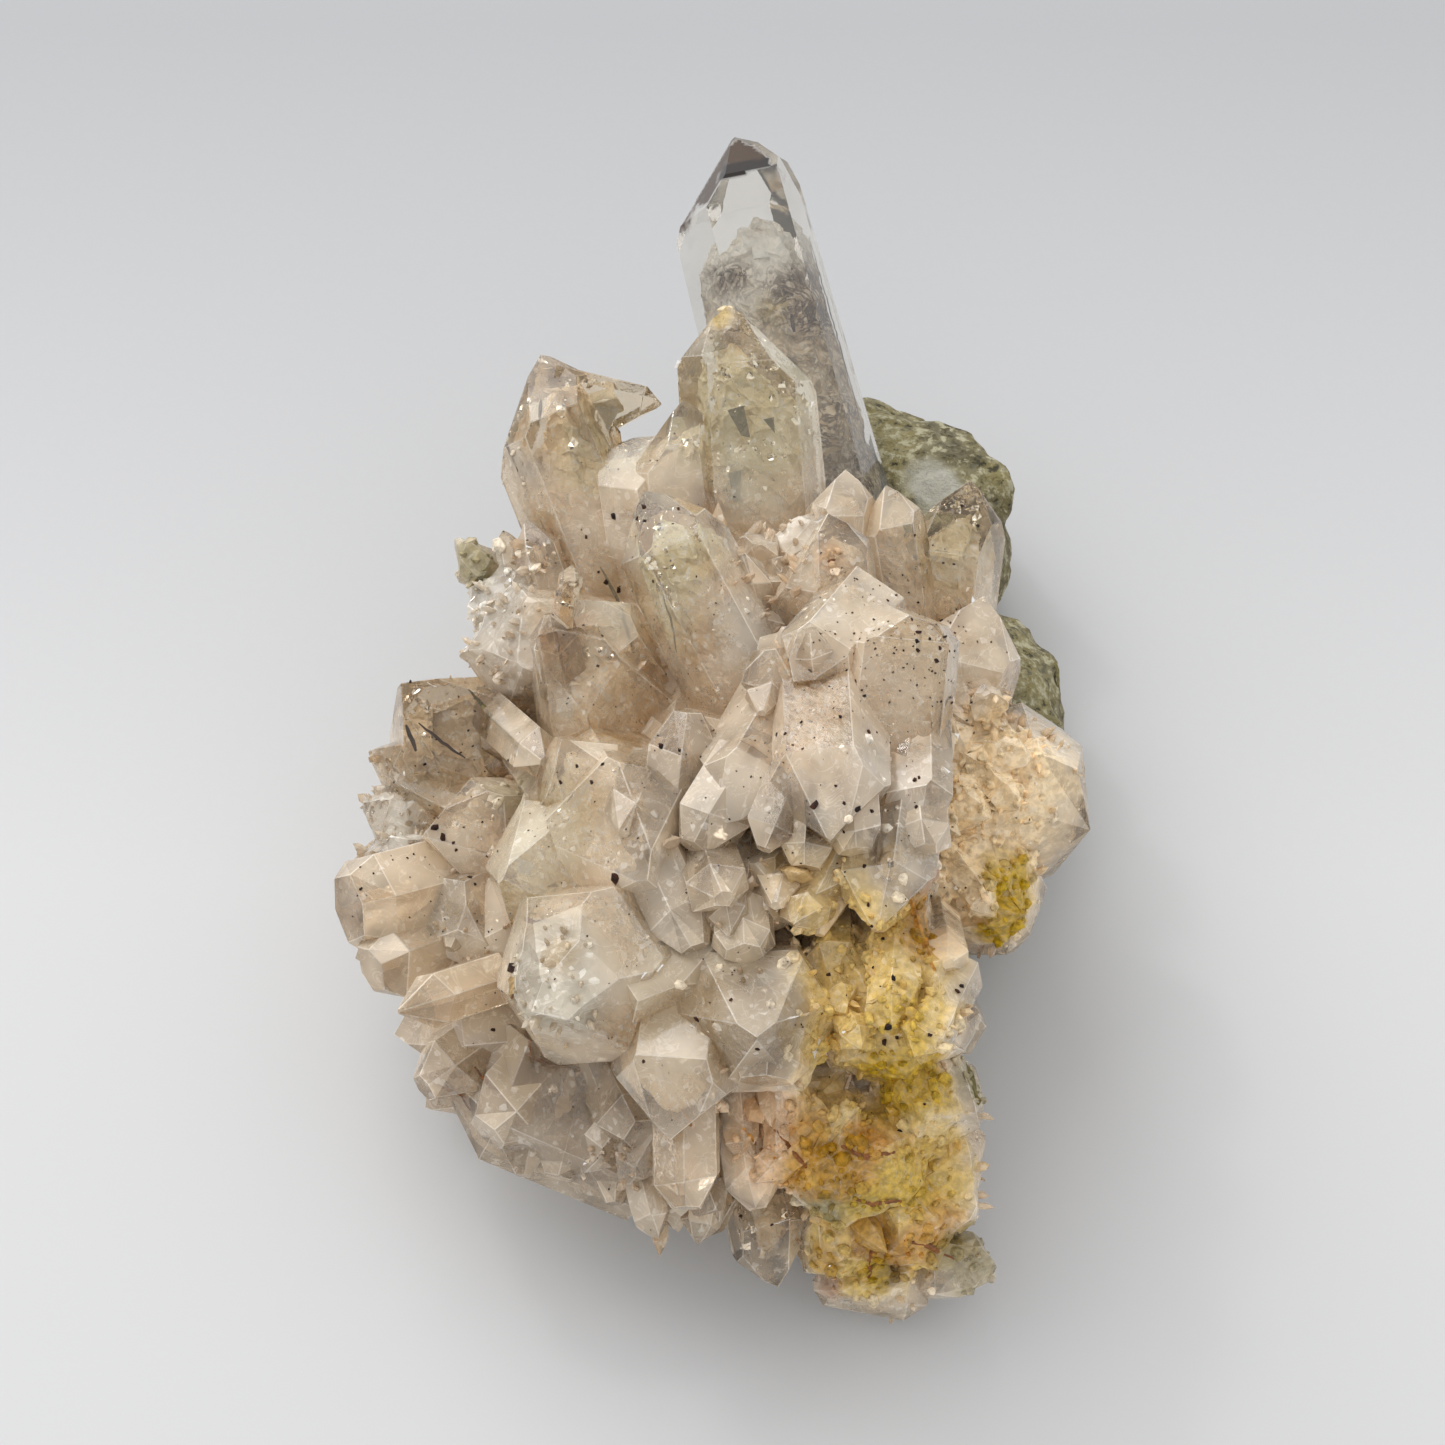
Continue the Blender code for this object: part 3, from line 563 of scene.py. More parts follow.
def heart_finish():
    """The milky quartz inside, broken like crushed ice."""
    look = Finish("milky_heart_quartz")
    tint, haze = look.attribute("tint", "Color"), look.attribute("haze")
    crack = look.noise(look.place, 0.9, 3.0, 0.7, 0.6)
    shade = look.mix(look.ranged(haze, 0.2, 0.8), look.mix(1.0, tint, (0.93, 0.87, 0.76), "MULTIPLY"), tint)
    shade = look.mix(look.ranged(crack, 0.56, 0.63, 0.0, 0.8), shade, (0.99, 0.98, 0.96))
    shade = look.mix(look.ranged(crack, 0.42, 0.36, 0.0, 0.5), shade, look.mix(1.0, tint, (0.74, 0.65, 0.54), "MULTIPLY"))
    look.set(Base_Color=shade, Roughness=look.ranged(crack, 0.3, 0.7, 0.1, 0.45), IOR=1.45,
             Normal=look.bump(crack, 0.35, 0.7, look.tilted(1.2, 0.5)))
    return look.material


def flake_finish():
    """Bright inner fracture faces."""
    look = Finish("bright_fracture")
    grain = look.noise(look.place, 0.5, 2.0)
    look.set(Base_Color=look.mix(look.ranged(grain, 0.4, 0.6), (0.99, 0.98, 0.96), (0.95, 0.91, 0.84)),
             Roughness=look.ranged(grain, 0.3, 0.7, 0.03, 0.2), Metallic=1.0, Normal=look.bump(grain, 0.06, 0.5))
    return look.material


def heart_tree(finish):
    """A node tree that makes the crumbled body lying at some depth inside a closed mesh."""
    tree = bpy.data.node_groups.new("body_inside", "GeometryNodeTree")
    face = tree.interface
    face.new_socket("Geometry", in_out="INPUT", socket_type="NodeSocketGeometry")
    for name, value in (("Depth", 0.0017), ("Grid", 0.0007), ("Broad", 0.0009), ("Fine", 0.0005)):
        socket = face.new_socket(name, in_out="INPUT", socket_type="NodeSocketFloat")
        socket.default_value = value
    face.new_socket("Geometry", in_out="OUTPUT", socket_type="NodeSocketGeometry")
    graph = Graph(tree)
    given = tree.nodes.new("NodeGroupInput").outputs
    band = graph.math("MULTIPLY", given["Depth"], 2.0)
    fog = graph.add("GeometryNodeMeshToVolume", {"Mesh": given["Geometry"], "Density": 1.0, "Voxel Size": given["Grid"],
                                                 "Interior Band Width": band}, resolution_mode="VOXEL_SIZE")
    body = graph.add("GeometryNodeVolumeToMesh", {"Volume": fog, "Threshold": 0.5, "Voxel Size": given["Grid"]},
                     resolution_mode="VOXEL_SIZE")
    place = graph.add("GeometryNodeInputPosition")
    stir = graph.add("ShaderNodeTexNoise", {"Vector": place, "Scale": 420.0, "Detail": 3.0}, output="Color")
    crumb = graph.add("ShaderNodeTexVoronoi", {"Vector": place, "Scale": 800.0}, output="Color")
    broad = graph.scaled(graph.vector("SUBTRACT", stir, (0.5, 0.5, 0.5)), given["Broad"])
    fine = graph.scaled(graph.vector("SUBTRACT", crumb, (0.5, 0.5, 0.5)), given["Fine"])
    moved = graph.add("GeometryNodeSetPosition", {"Geometry": body, "Offset": graph.vector("ADD", broad, fine)})
    real = graph.add("GeometryNodeRealizeInstances", {"Geometry": moved})
    done = graph.add("GeometryNodeSetMaterial", {"Geometry": real, "Material": finish})
    tree.links.new(done, tree.nodes.new("NodeGroupOutput").inputs[0])
    return tree


def sprinkle_tree(finish):
    """A node tree that sets a thing on a surface, as densely as its amount says, at some depth and tilt."""
    tree = bpy.data.node_groups.new("things_on_surface", "GeometryNodeTree")
    face = tree.interface
    face.new_socket("Geometry", in_out="INPUT", socket_type="NodeSocketGeometry")
    face.new_socket("Thing", in_out="INPUT", socket_type="NodeSocketObject")
    for name in ("Density", "Depth", "Depth Range", "Smallest", "Largest", "Tilt", "Outward", "Height"):
        face.new_socket(name, in_out="INPUT", socket_type="NodeSocketFloat")
    face.new_socket("Centre", in_out="INPUT", socket_type="NodeSocketVector")
    face.new_socket("Seed", in_out="INPUT", socket_type="NodeSocketInt")
    face.new_socket("Geometry", in_out="OUTPUT", socket_type="NodeSocketGeometry")
    graph = Graph(tree)
    given = tree.nodes.new("NodeGroupInput").outputs
    amount = graph.add("GeometryNodeInputNamedAttribute", {"Name": "amount"}, data_type="FLOAT")
    density = graph.math("MULTIPLY", amount, given["Density"])
    points = graph.add("GeometryNodeDistributePointsOnFaces",
                       {"Mesh": given["Geometry"], "Density": density, "Seed": given["Seed"]})
    normal = points.node.outputs["Normal"]
    away = graph.vector("NORMALIZE", graph.vector("SUBTRACT", graph.add("GeometryNodeInputPosition"), given["Centre"]))
    keep = graph.math("SUBTRACT", 1.0, given["Outward"])
    way = graph.vector("ADD", graph.scaled(normal, keep), graph.scaled(away, given["Outward"]))
    rotation = graph.add("FunctionNodeAlignRotationToVector", {"Vector": way}, axis="Z")

    def draw(low, high, shift):
        seed = graph.math("ADD", given["Seed"], float(shift))
        return graph.add("FunctionNodeRandomValue", {2: low, 3: high, "Seed": seed}, output=1)

    depth = graph.math("ADD", given["Depth"], graph.math("MULTIPLY", given["Depth Range"], draw(0.0, 1.0, 1)))
    offset = graph.scaled(normal, graph.math("MULTIPLY", depth, -1.0))
    placed = graph.add("GeometryNodeSetPosition", {"Geometry": points, "Offset": offset})
    dice = draw(0.0, 1.0, 2)
    span = graph.math("SUBTRACT", given["Largest"], given["Smallest"])
    size = graph.math("ADD", given["Smallest"], graph.math("MULTIPLY", span, graph.math("POWER", dice, 2.0)))
    wide, deep = (graph.math("MULTIPLY", size, draw(0.7, 1.3, shift)) for shift in (3, 4))
    tall = graph.math("MULTIPLY", size, given["Height"])
    scale = graph.add("ShaderNodeCombineXYZ", {"X": wide, "Y": deep, "Z": tall})
    thing = graph.add("GeometryNodeObjectInfo", {"Object": given["Thing"]}, output="Geometry")
    instances = graph.add("GeometryNodeInstanceOnPoints",
                          {"Points": placed, "Instance": thing, "Rotation": rotation, "Scale": scale})
    back = graph.math("MULTIPLY", given["Tilt"], -1.0)
    low = graph.add("ShaderNodeCombineXYZ", {"X": back, "Y": back, "Z": 0.0})
    high = graph.add("ShaderNodeCombineXYZ", {"X": given["Tilt"], "Y": given["Tilt"], "Z": 2.0 * math.pi})
    turn = graph.add("FunctionNodeRandomValue", {0: low, 1: high, "Seed": given["Seed"]}, data_type="FLOAT_VECTOR")
    turned = graph.add("GeometryNodeRotateInstances", {"Instances": instances, "Rotation": turn})
    real = graph.add("GeometryNodeRealizeInstances", {"Geometry": turned})
    done = graph.add("GeometryNodeSetMaterial", {"Geometry": real, "Material": finish})
    tree.links.new(done, tree.nodes.new("NodeGroupOutput").inputs[0])
    return tree


def grown(name, base, tree, values):
    """The plain mesh that a node tree makes from an object, as a new object."""
    modifier = base.modifiers.new(name, "NODES")
    modifier.node_group = tree
    sockets = {item.name: item.identifier for item in tree.interface.items_tree if item.in_out == "INPUT"}
    for key, value in values.items():
        modifier[sockets[key]] = value
    evaluated = base.evaluated_get(bpy.context.evaluated_depsgraph_get())
    mesh = bpy.data.meshes.new_from_object(evaluated)
    mesh.name = name
    base.modifiers.remove(modifier)
    return add_object(name, mesh)


def prism(name):
    """A six-sided crystal of unit length with an uneven tip, its foot a little under the ground."""
    shape = bmesh.new()
    rings = []
    for height, wide in ((-0.75, 0.30), (0.55, 0.27)):
        ring = []
        for side in range(6):
            turn = math.radians(60 * side)
            lift = 0.10 * math.sin(turn * 2.0 + 1.0) if height > 0 else 0.0
            ring.append(shape.verts.new((wide * math.cos(turn), wide * 0.8 * math.sin(turn), height + lift)))
        rings.append(ring)
    tip = shape.verts.new((0.04, -0.03, 1.0))
    foot = shape.verts.new((0.0, 0.0, -0.80))
    for side in range(6):
        after = (side + 1) % 6
        shape.faces.new((rings[0][side], rings[0][after], rings[1][after], rings[1][side]))
        shape.faces.new((rings[1][side], rings[1][after], tip))
        shape.faces.new((rings[0][after], rings[0][side], foot))
    return to_object(name, shape)


def crumb(name):
    """An uneven faceted grain of unit size, a little sunk."""
    shape = bmesh.new()
    bmesh.ops.create_icosphere(shape, subdivisions=1, radius=0.5)
    for vert in shape.verts:
        vert.co *= 1.0 + 0.35 * noise.noise(vert.co * 3.0 + Vector((2.0, 5.0, 1.0)))
        vert.co.z -= 0.1
    return to_object(name, shape)


def flake(name):
    """A thin, uneven, slightly bent chip of unit width."""
    shape = bmesh.new()
    reaches = (0.50, 0.36, 0.55, 0.30, 0.47, 0.26, 0.42)
    rings = []
    for height in (-0.02, 0.02):
        ring = []
        for side, reach in enumerate(reaches):
            turn = math.tau * side / len(reaches)
            bend = 0.25 * reach * math.cos(turn) ** 2
            ring.append(shape.verts.new((reach * math.cos(turn), 0.7 * reach * math.sin(turn), height + bend)))
        rings.append(ring)
    shape.faces.new(rings[1])
    shape.faces.new(list(reversed(rings[0])))
    for side in range(len(reaches)):
        after = (side + 1) % len(reaches)
        shape.faces.new((rings[0][side], rings[0][after], rings[1][after], rings[1][side]))
    bmesh.ops.triangulate(shape, faces=shape.faces)
    return to_object(name, shape)


def sprinkled(name, base, thing, finish, amount, values):
    """Things set on a base mesh, as densely as the amounts at its points say."""
    mesh = base.data
    if "amount" in mesh.attributes:
        mesh.attributes.remove(mesh.attributes["amount"])
    store(mesh, "amount", np.clip(amount, 0.0, 1.0))
    usual = {"Height": 1.0, "Outward": 0.0, "Centre": GROWTH_CENTRE}
    piece = grown(name, base, sprinkle_tree(finish), {"Thing": thing, **usual, **values})
    bpy.data.objects.remove(thing)
    mesh.attributes.remove(mesh.attributes["amount"])
    return piece


CRUST = {}
EDGE_WIDTH = 0.06 * MM
EDGE_LEAST = 0.9 * MM
EDGE_ANGLE = math.radians(24.0)
GROWTH_CENTRE = (0.0, -0.007, 0.012)


class QUARTZ_OT_crystals(bpy.types.Operator):
    """Gives the fused crystals their fine mesh, relief and glossy faces"""

    bl_idname = "quartz.crystals"
    bl_label = "Crystals"

    def execute(self, context):
        shape = merged_copy("quartz_cluster")
        bmesh.ops.recalc_face_normals(shape, faces=shape.faces)
        shape.normal_update()
        soften(shape, EDGE_WIDTH, EDGE_ANGLE)
        refine(shape, context.scene.quartz.facet_length)
        bmesh.ops.recalc_face_normals(shape, faces=shape.faces)
        shape.normal_update()
        places = np.array([vert.co[:] for vert in shape.verts])
        found = fields(places)
        for index, vert in enumerate(shape.verts):
            rough = max(found["sugar"][index], 0.8 * found["cover"][index])
            if rough > 0.04:
                place = vert.co / MM
                cone = 0.5 - noise.voronoi(place / 1.9)[0][0]
                chip = 0.5 - noise.voronoi(place / 0.95 + Vector((7.0, 3.0, 1.0)))[0][0]
                vert.co += vert.normal * rough * (0.75 * cone + 0.35 * chip - 0.1) * MM
        piece = to_object("quartz_crystals", shape)
        keep_fields(piece.data, found)
        piece.data.materials.append(crystal_finish("milky_quartz_faces", 0.88, 0.52, True))
        finish_piece(piece, "milky_quartz", "quartz_cluster")
        CRUST["piece"], CRUST["fields"] = piece, found
        return {"FINISHED"}


# Medium crystals: foot and tip across and up, width, how far the tip rises and how flat-topped it is
MEDIUM = (
    ((8.0, -3.5), (7.2, -12.6), 5.0, 1.0, 0.45), ((11.2, -3.0), (11.6, -11.2), 4.8, 0.9, 0.4),
    ((3.6, -2.0), (0.2, -9.0), 6.0, 1.0, 0.7), ((14.2, -9.0), (13.4, -18.0), 5.6, 1.6, 0.8),
    ((1.0, -11.0), (1.8, -20.0), 5.4, 1.4, 0.4), ((17.0, -3.5), (17.6, -11.0), 4.6, 0.8, 0.6),
    ((-4.0, -8.0), (-3.0, 1.0), 6.6, 0.3, 0.6), ((4.8, 6.6), (3.4, 0.8), 3.8, 0.7, 0.8),
    ((8.4, 2.4), (7.6, 8.0), 4.2, 0.5, 0.7), ((-3.2, -33.0), (-3.0, -42.0), 6.0, 0.6, 0.6),
    ((-19.5, -22.5), (-28.0, -25.0), 5.0, 0.4, 0.9), ((4.0, -22.0), (3.6, -31.0), 7.0, 0.8, 0.35),
    ((-6.5, -11.0), (-2.4, -19.6), 6.0, 0.6, 0.6), ((22.6, -22.0), (22.8, -28.0), 4.2, 0.7, 0.7),
    ((1.6, -34.0), (3.0, -42.0), 5.0, 0.6, 0.7), ((-21.0, -13.0), (-23.6, -19.6), 4.6, 0.5, 0.8),
    ((-13.6, 2.6), (-15.0, 9.4), 4.6, 0.5, 0.8), ((-20.5, 1.0), (-15.4, -3.4), 4.4, 0.4, 0.8),
    ((3.4, 9.0), (1.6, 14.6), 3.8, 0.6, 0.8), ((2.0, -3.4), (-2.6, -10.8), 6.4, 2.2, 0.6),
    ((-2.0, -9.0), (0.2, -15.2), 5.6, 1.8, 0.7), ((5.4, -9.6), (4.6, -15.8), 4.6, 1.4, 0.8),
    ((9.4, -11.4), (8.4, -18.4), 4.2, 1.0, 0.8), ((18.6, -16.0), (19.4, -20.8), 4.0, 0.6, 0.7),
    ((-24.5, -14.0), (-32.4, -16.0), 9.0, 0.4, 0.3), ((-24.0, -19.0), (-30.4, -21.4), 7.0, 0.4, 0.4),
    ((-6.0, -4.0), (-8.6, -9.6), 4.6, 0.4, 0.8), ((6.4, -4.6), (3.6, -11.0), 4.6, 1.4, 0.7),
    ((-10.0, -30.0), (-7.0, -35.6), 6.4, 0.6, 0.5),
    ((-15.0, -29.6), (-20.4, -35.4), 7.4, 0.5, 0.5), ((-12.0, -31.6), (-14.2, -39.4), 6.4, 0.5, 0.6),
    ((-18.6, -26.6), (-25.8, -31.6), 6.8, 0.4, 0.6), ((-9.4, -36.4), (-9.4, -41.6), 4.8, 0.5, 0.7),
    ((-16.6, -34.6), (-17.2, -39.2), 4.6, 0.5, 0.7),
)
MEDIUM_FOOT = 4.0


def medium_crystal(shape, foot, tip, width, rise, flat, rng):
    """Adds one uneven six-sided crystal that stands in the cluster, as it is seen from the front."""
    low, high = SURFACES.seen(*foot), SURFACES.seen(*tip)
    if low is None:
        return
    start = low[0] - TOWARD * MEDIUM_FOOT * MM
    eye, way = seen_line(*tip)
    reach = (low[3] if high is None else min(high[3], low[3] + 3.0 * MM)) - rise * MM
    end = eye + way * reach
    axis = (end - start).normalized()
    across = axis.cross(TOWARD).normalized()
    up = across.cross(axis)
    span, half = (end - start).length, 0.5 * width * MM
    sides = [math.radians(60.0 * index + 30.0 + rng.uniform(-9.0, 9.0)) for index in range(6)]
    wide = [half * rng.uniform(0.86, 1.12) for _ in sides]
    slope = [half * rng.uniform(0.7, 1.5) for _ in sides]
    rings = []
    for back, shrink in ((span, 1.0), (None, 1.0), (0.0, 1.0 - flat)):
        ring = []
        for turn, reach, drop in zip(sides, wide, slope):
            away = drop * flat * 1.3 if back is None else back
            side = (across * math.cos(turn) + up * math.sin(turn) * 0.85) * reach * shrink
            ring.append(shape.verts.new(end - axis * away + side))
        rings.append(ring)
    for one, two in zip(rings, rings[1:]):
        for index in range(6):
            after = (index + 1) % 6
            shape.faces.new((one[index], one[after], two[after], two[index]))
    shape.faces.new(list(reversed(rings[0])))
    shape.faces.new(rings[2])


class QUARTZ_OT_medium_crystals(bpy.types.Operator):
    """Stands the medium crystals in the cluster"""

    bl_idname = "quartz.medium_crystals"
    bl_label = "Medium crystals"

    def execute(self, context):
        rng = random.Random(31)
        shape = bmesh.new()
        for row in MEDIUM:
            medium_crystal(shape, *row, rng)
        bmesh.ops.triangulate(shape, faces=shape.faces)
        bmesh.ops.recalc_face_normals(shape, faces=shape.faces)
        shape.normal_update()
        soften(shape, EDGE_WIDTH, EDGE_ANGLE)
        refine(shape, context.scene.quartz.facet_length)
        bmesh.ops.recalc_face_normals(shape, faces=shape.faces)
        piece = to_object("medium_crystals", shape)
        keep_fields(piece.data, fields(coordinates(piece.data)))
        piece.data.materials.append(crystal_finish("medium_quartz_faces", 0.84, 0.48, False))
        finish_piece(piece, "milky_quartz")
        return {"FINISHED"}


class QUARTZ_OT_small_crystals(bpy.types.Operator):
    """Grows small crystals on the sugary ground and between the large crystals, and grains on the stained ground"""

    bl_idname = "quartz.small_crystals"
    bl_label = "Small crystals"

    def execute(self, context):
        found = CRUST["fields"]
        settings = context.scene.quartz
        shut = np.clip((found["shut"] - 0.42) * 3.0, 0.0, 1.0)
        bare = 1.0 - found["cover"]
        finish = crystal_finish("small_quartz_faces", 0.85, 0.40, False, False)
        between = np.maximum(0.4 * shut, 0.8 * found["hollow"]) * bare * (1.0 - found["clear"])
        rows = (("small_crystals", finish, (0.75 * found["sugar"] + 0.2 * shut) * bare ** 2,
                 {"Density": settings.small_density, "Smallest": 0.3 * settings.small_size,
                  "Largest": settings.small_size, "Tilt": 0.35, "Height": 0.85, "Seed": 11}),
                ("crevice_crystals", finish, between,
                 {"Density": settings.crevice_density, "Smallest": 0.5 * settings.crevice_size,
                  "Largest": settings.crevice_size, "Tilt": 0.28, "Outward": 0.85, "Seed": 12}),
                ("stained_grains", stained_finish(), found["cover"],
                 {"Density": 1.1 * settings.small_density, "Smallest": 0.0004, "Largest": 0.0015, "Tilt": 0.9,
                  "Height": 0.8, "Seed": 13}))
        for name, skin, amount, values in rows:
            thing = crumb("stained_crumb") if name == "stained_grains" else prism("small_prism")
            piece = sprinkled(name, CRUST["piece"], thing, skin, amount, values)
            finish_piece(piece, "milky_quartz")
        return {"FINISHED"}


class QUARTZ_OT_fractures(bpy.types.Operator):
    """Puts bright fracture faces under the surface"""

    bl_idname = "quartz.fractures"
    bl_label = "Inner fractures"

    def execute(self, context):
        found = CRUST["fields"]
        patchy = np.clip(0.15 + 2.2 * cloud(coordinates(CRUST["piece"].data), 4.0, 11.0), 0.0, 1.0)
        amount = patchy * (0.45 + 0.5 * found["clear"] + 0.5 * found["sugar"]) * (1.0 - found["cover"])
        piece = sprinkled("inner_fractures", CRUST["piece"], flake("fracture_face"), flake_finish(), amount,
                          {"Density": 1500000.0, "Depth": 0.00012, "Depth Range": 0.0006, "Smallest": 0.0002,
                           "Largest": 0.0012, "Tilt": 0.55, "Seed": 21})
        finish_piece(piece, "milky_quartz")
        return {"FINISHED"}


class QUARTZ_OT_heart(bpy.types.Operator):
    """Makes the milky heart inside the fused crystals"""

    bl_idname = "quartz.heart"
    bl_label = "Milky heart"

    def execute(self, context):
        settings = context.scene.quartz
        base = to_object("heart_base", merged_copy("quartz_cluster"))
        tree = heart_tree(heart_finish())
        piece = grown("milky_heart", base, tree, {"Depth": settings.heart_depth, "Grid": settings.heart_grid,
                                                  "Broad": 0.0009, "Fine": 0.0005})
        bpy.data.objects.remove(base)
        mesh = piece.data
        found = fields(coordinates(mesh))
        normals = np.zeros(len(mesh.vertices) * 3, np.float32)
        mesh.vertex_normals.foreach_get("vector", normals)
        inward = (1.7 * found["clear"] * (1.0 - found["cover"]) * MM)[:, None]
        mesh.vertices.foreach_set("co", (coordinates(mesh) - normals.reshape(-1, 3) * inward).ravel())
        mesh.update()
        keep_fields(mesh, found)
        finish_piece(piece, "milky_quartz")
        return {"FINISHED"}


# Marks drawn as they are seen from the front: their corners across and up, their tint and how strong they are; the
# near-black band and the grey patch at the tip are painted dark reflections
TALL_MARKS = (
    (((0.2, 48.2), (3.4, 48.4), (4.0, 48.9), (2.6, 49.9), (1.2, 50.6), (0.3, 49.6)), "cap", 1.4),
    (((-2.6, 44.8), (-1.2, 47.4), (0.6, 50.3), (0.3, 48.6), (-0.2, 46.8), (-1.2, 44.8)), "cap", 1.3),
    (((-4.2, 42.6), (-2.8, 45.4), (-2.2, 45.0), (-2.8, 43.0), (-3.6, 42.2)), "cap", 1.1),
    (((-0.4, 46.9), (0.1, 48.3), (4.2, 49.0), (4.2, 48.0), (1.4, 47.3)), "dark", 1.6),
    (((4.3, 48.6), (5.6, 47.4), (5.2, 46.6), (4.5, 47.2)), "reflected_grey", 0.7),
)
TALL_TINTS = {
    "clear": (0.97, 0.96, 0.93),
    "cap": (0.06, 0.033, 0.016),
    # Near-black and grey: painted dark reflections in the tip's faces
    "dark": (0.010, 0.005, 0.002),
    "reflected_grey": (0.45, 0.43, 0.40),
    "cream": (1.0, 0.96, 0.86),
    "moss": (0.36, 0.24, 0.12),
    "lilac": (0.73, 0.56, 0.33),
    "smoky": (0.24, 0.16, 0.065),
    "straw": (0.62, 0.45, 0.14),
}
# Veils in the tall point: across, up, reach, tint, strength
TALL_VEILS = (
    (2.3, 39.6, 6.4, "cream", 1.0), (5.6, 41.4, 3.4, "cream", 0.9), (8.0, 30.0, 3.0, "cream", 0.4),
    (1.2, 38.2, 1.6, "moss", 0.8), (5.8, 36.6, 2.8, "moss", 0.8), (8.2, 35.0, 3.0, "moss", 0.9),
    (9.0, 38.5, 1.6, "moss", 0.8), (4.3, 35.4, 1.5, "straw", 1.0), (9.4, 32.0, 1.8, "moss", 0.6),
    (8.6, 31.0, 2.6, "lilac", 0.8), (10.6, 26.0, 4.0, "lilac", 0.6), (11.0, 21.6, 3.6, "smoky", 0.9),
)
VEIL_TOP = 6.9


def in_view(places):
    """Where each place shows from the front: across and up, in millimetres."""
    away = places / MM - np.array(EYE)
    nearness = SIGHT_DISTANCE / -(away @ np.array(TOWARD))
    return np.stack([away @ np.array(RIGHT) * nearness, away @ np.array(UPWARD) * nearness], axis=1)


def inside_mark(view, corners, soft=0.15):
    """How far each place seen lies inside a mark with these corners, from 0 to 1."""
    corners = np.array(corners)
    after = np.roll(corners, -1, axis=0)
    around = np.sum(corners[:, 0] * after[:, 1] - after[:, 0] * corners[:, 1])
    least = np.full(len(view), 1e9)
    for one, two in zip(corners, after):
        edge = two - one
        inward = np.array((-edge[1], edge[0])) * np.sign(around) / np.linalg.norm(edge)
        least = np.minimum(least, (view - one) @ inward)
    return np.clip(least / soft + 0.5, 0.0, 1.0)


def long_axis(node):
    """The direction in which a crystal's long edges run, towards its tip."""
    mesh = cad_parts[node].data
    total = Vector()
    for edge in mesh.edges:
        one, two = (mesh.vertices[index].co for index in edge.vertices)
        way = two - one
        if way.length > 15.0 * MM:
            total += way if way.y > 0 else -way
    return total.normalized()


def tall_finish():
    """Clear, slightly smoky quartz."""
    look = Finish("clear_smoky_quartz")
    grain = look.noise(look.place, 0.9, 2.0)
    open_places = look.ranged(look.attribute("cover"), 0.3, 0.9, 0.93, 0.06)
    look.set(Base_Color=look.attribute("tint", "Color"), Transmission_Weight=open_places, Roughness=0.02, IOR=1.544,
             Normal=look.bump(grain, 0.02, 0.4, look.tilted(2.4, 0.03)))
    look.absorb((0.86, 0.78, 0.64), 30.0)
    return look.material


def veil_finish():
    """Milky and mossy veils with thin brown loops."""
    look = Finish("mossy_veil")
    tint = look.attribute("tint", "Color")
    swirl = look.noise(look.place, 2.4, 3.0, 0.6, 2.2)
    loops = look.ranged(look.math("ABSOLUTE", look.math("SUBTRACT", swirl, 0.5)), 0.085, 0.03)
    fine = look.noise(look.place, 0.7, 3.0, 0.6, 0.6)
    shade = look.mix(look.ranged(fine, 0.45, 0.62), tint, look.mix(0.5, tint, (0.99, 0.93, 0.80)))
    loops = look.math("MULTIPLY", look.math("MULTIPLY", loops, look.attribute("moss")), 0.95)
    shade = look.mix(loops, shade, (0.11, 0.065, 0.03))
    open_places = look.ranged(fine, 0.36, 0.46, 0.25, 0.0)
    look.set(Base_Color=shade, Transmission_Weight=open_places, Roughness=0.35, IOR=1.3,
             Normal=look.bump(fine, 0.3, 0.7, look.tilted(1.0, 0.4)))
    return look.material


class QUARTZ_OT_tall_point(bpy.types.Operator):
    """Gives the tall point its clear, smoky finish"""

    bl_idname = "quartz.tall_point"
    bl_label = "Tall point"

    def execute(self, context):
        shape = merged_copy("tall_point")
        refine(shape, 0.0006)
        piece = to_object("tall_crystal", shape)
        places = coordinates(piece.data)
        tint = np.tile(np.array(TALL_TINTS["clear"]), (len(places), 1))
        cover = np.zeros(len(places))
        view = in_view(places + 0.25 * MM * np.stack([cloud(places, 1.5, shift) for shift in (0.0, 3.0, 6.0)], axis=1))
        normals = np.zeros(len(places) * 3, np.float32)
        piece.data.vertex_normals.foreach_get("vector", normals)
        facing = (normals.reshape(-1, 3) @ np.array(TOWARD)) > 0.02
        streaks = 0.9 + 0.5 * cloud(places * np.array((1.0, 0.5, 1.0)), 0.8, 9.0)
        # The marks are painted on faces that face the front: the brown cap, and the band and grey patch as painted dark
        # reflections
        for corners, name, strength in TALL_MARKS:
            amount = np.clip(strength * streaks * inside_mark(view, corners) * facing, 0.0, 1.0)[:, None]
            tint = tint * (1.0 - amount) + np.array(TALL_TINTS[name]) * amount
            cover = np.maximum(cover, amount[:, 0])
        store(piece.data, "tint", tint)
        store(piece.data, "cover", cover)
        piece.data.materials.append(tall_finish())
        finish_piece(piece, "clear_quartz", "tall_point")
        return {"FINISHED"}


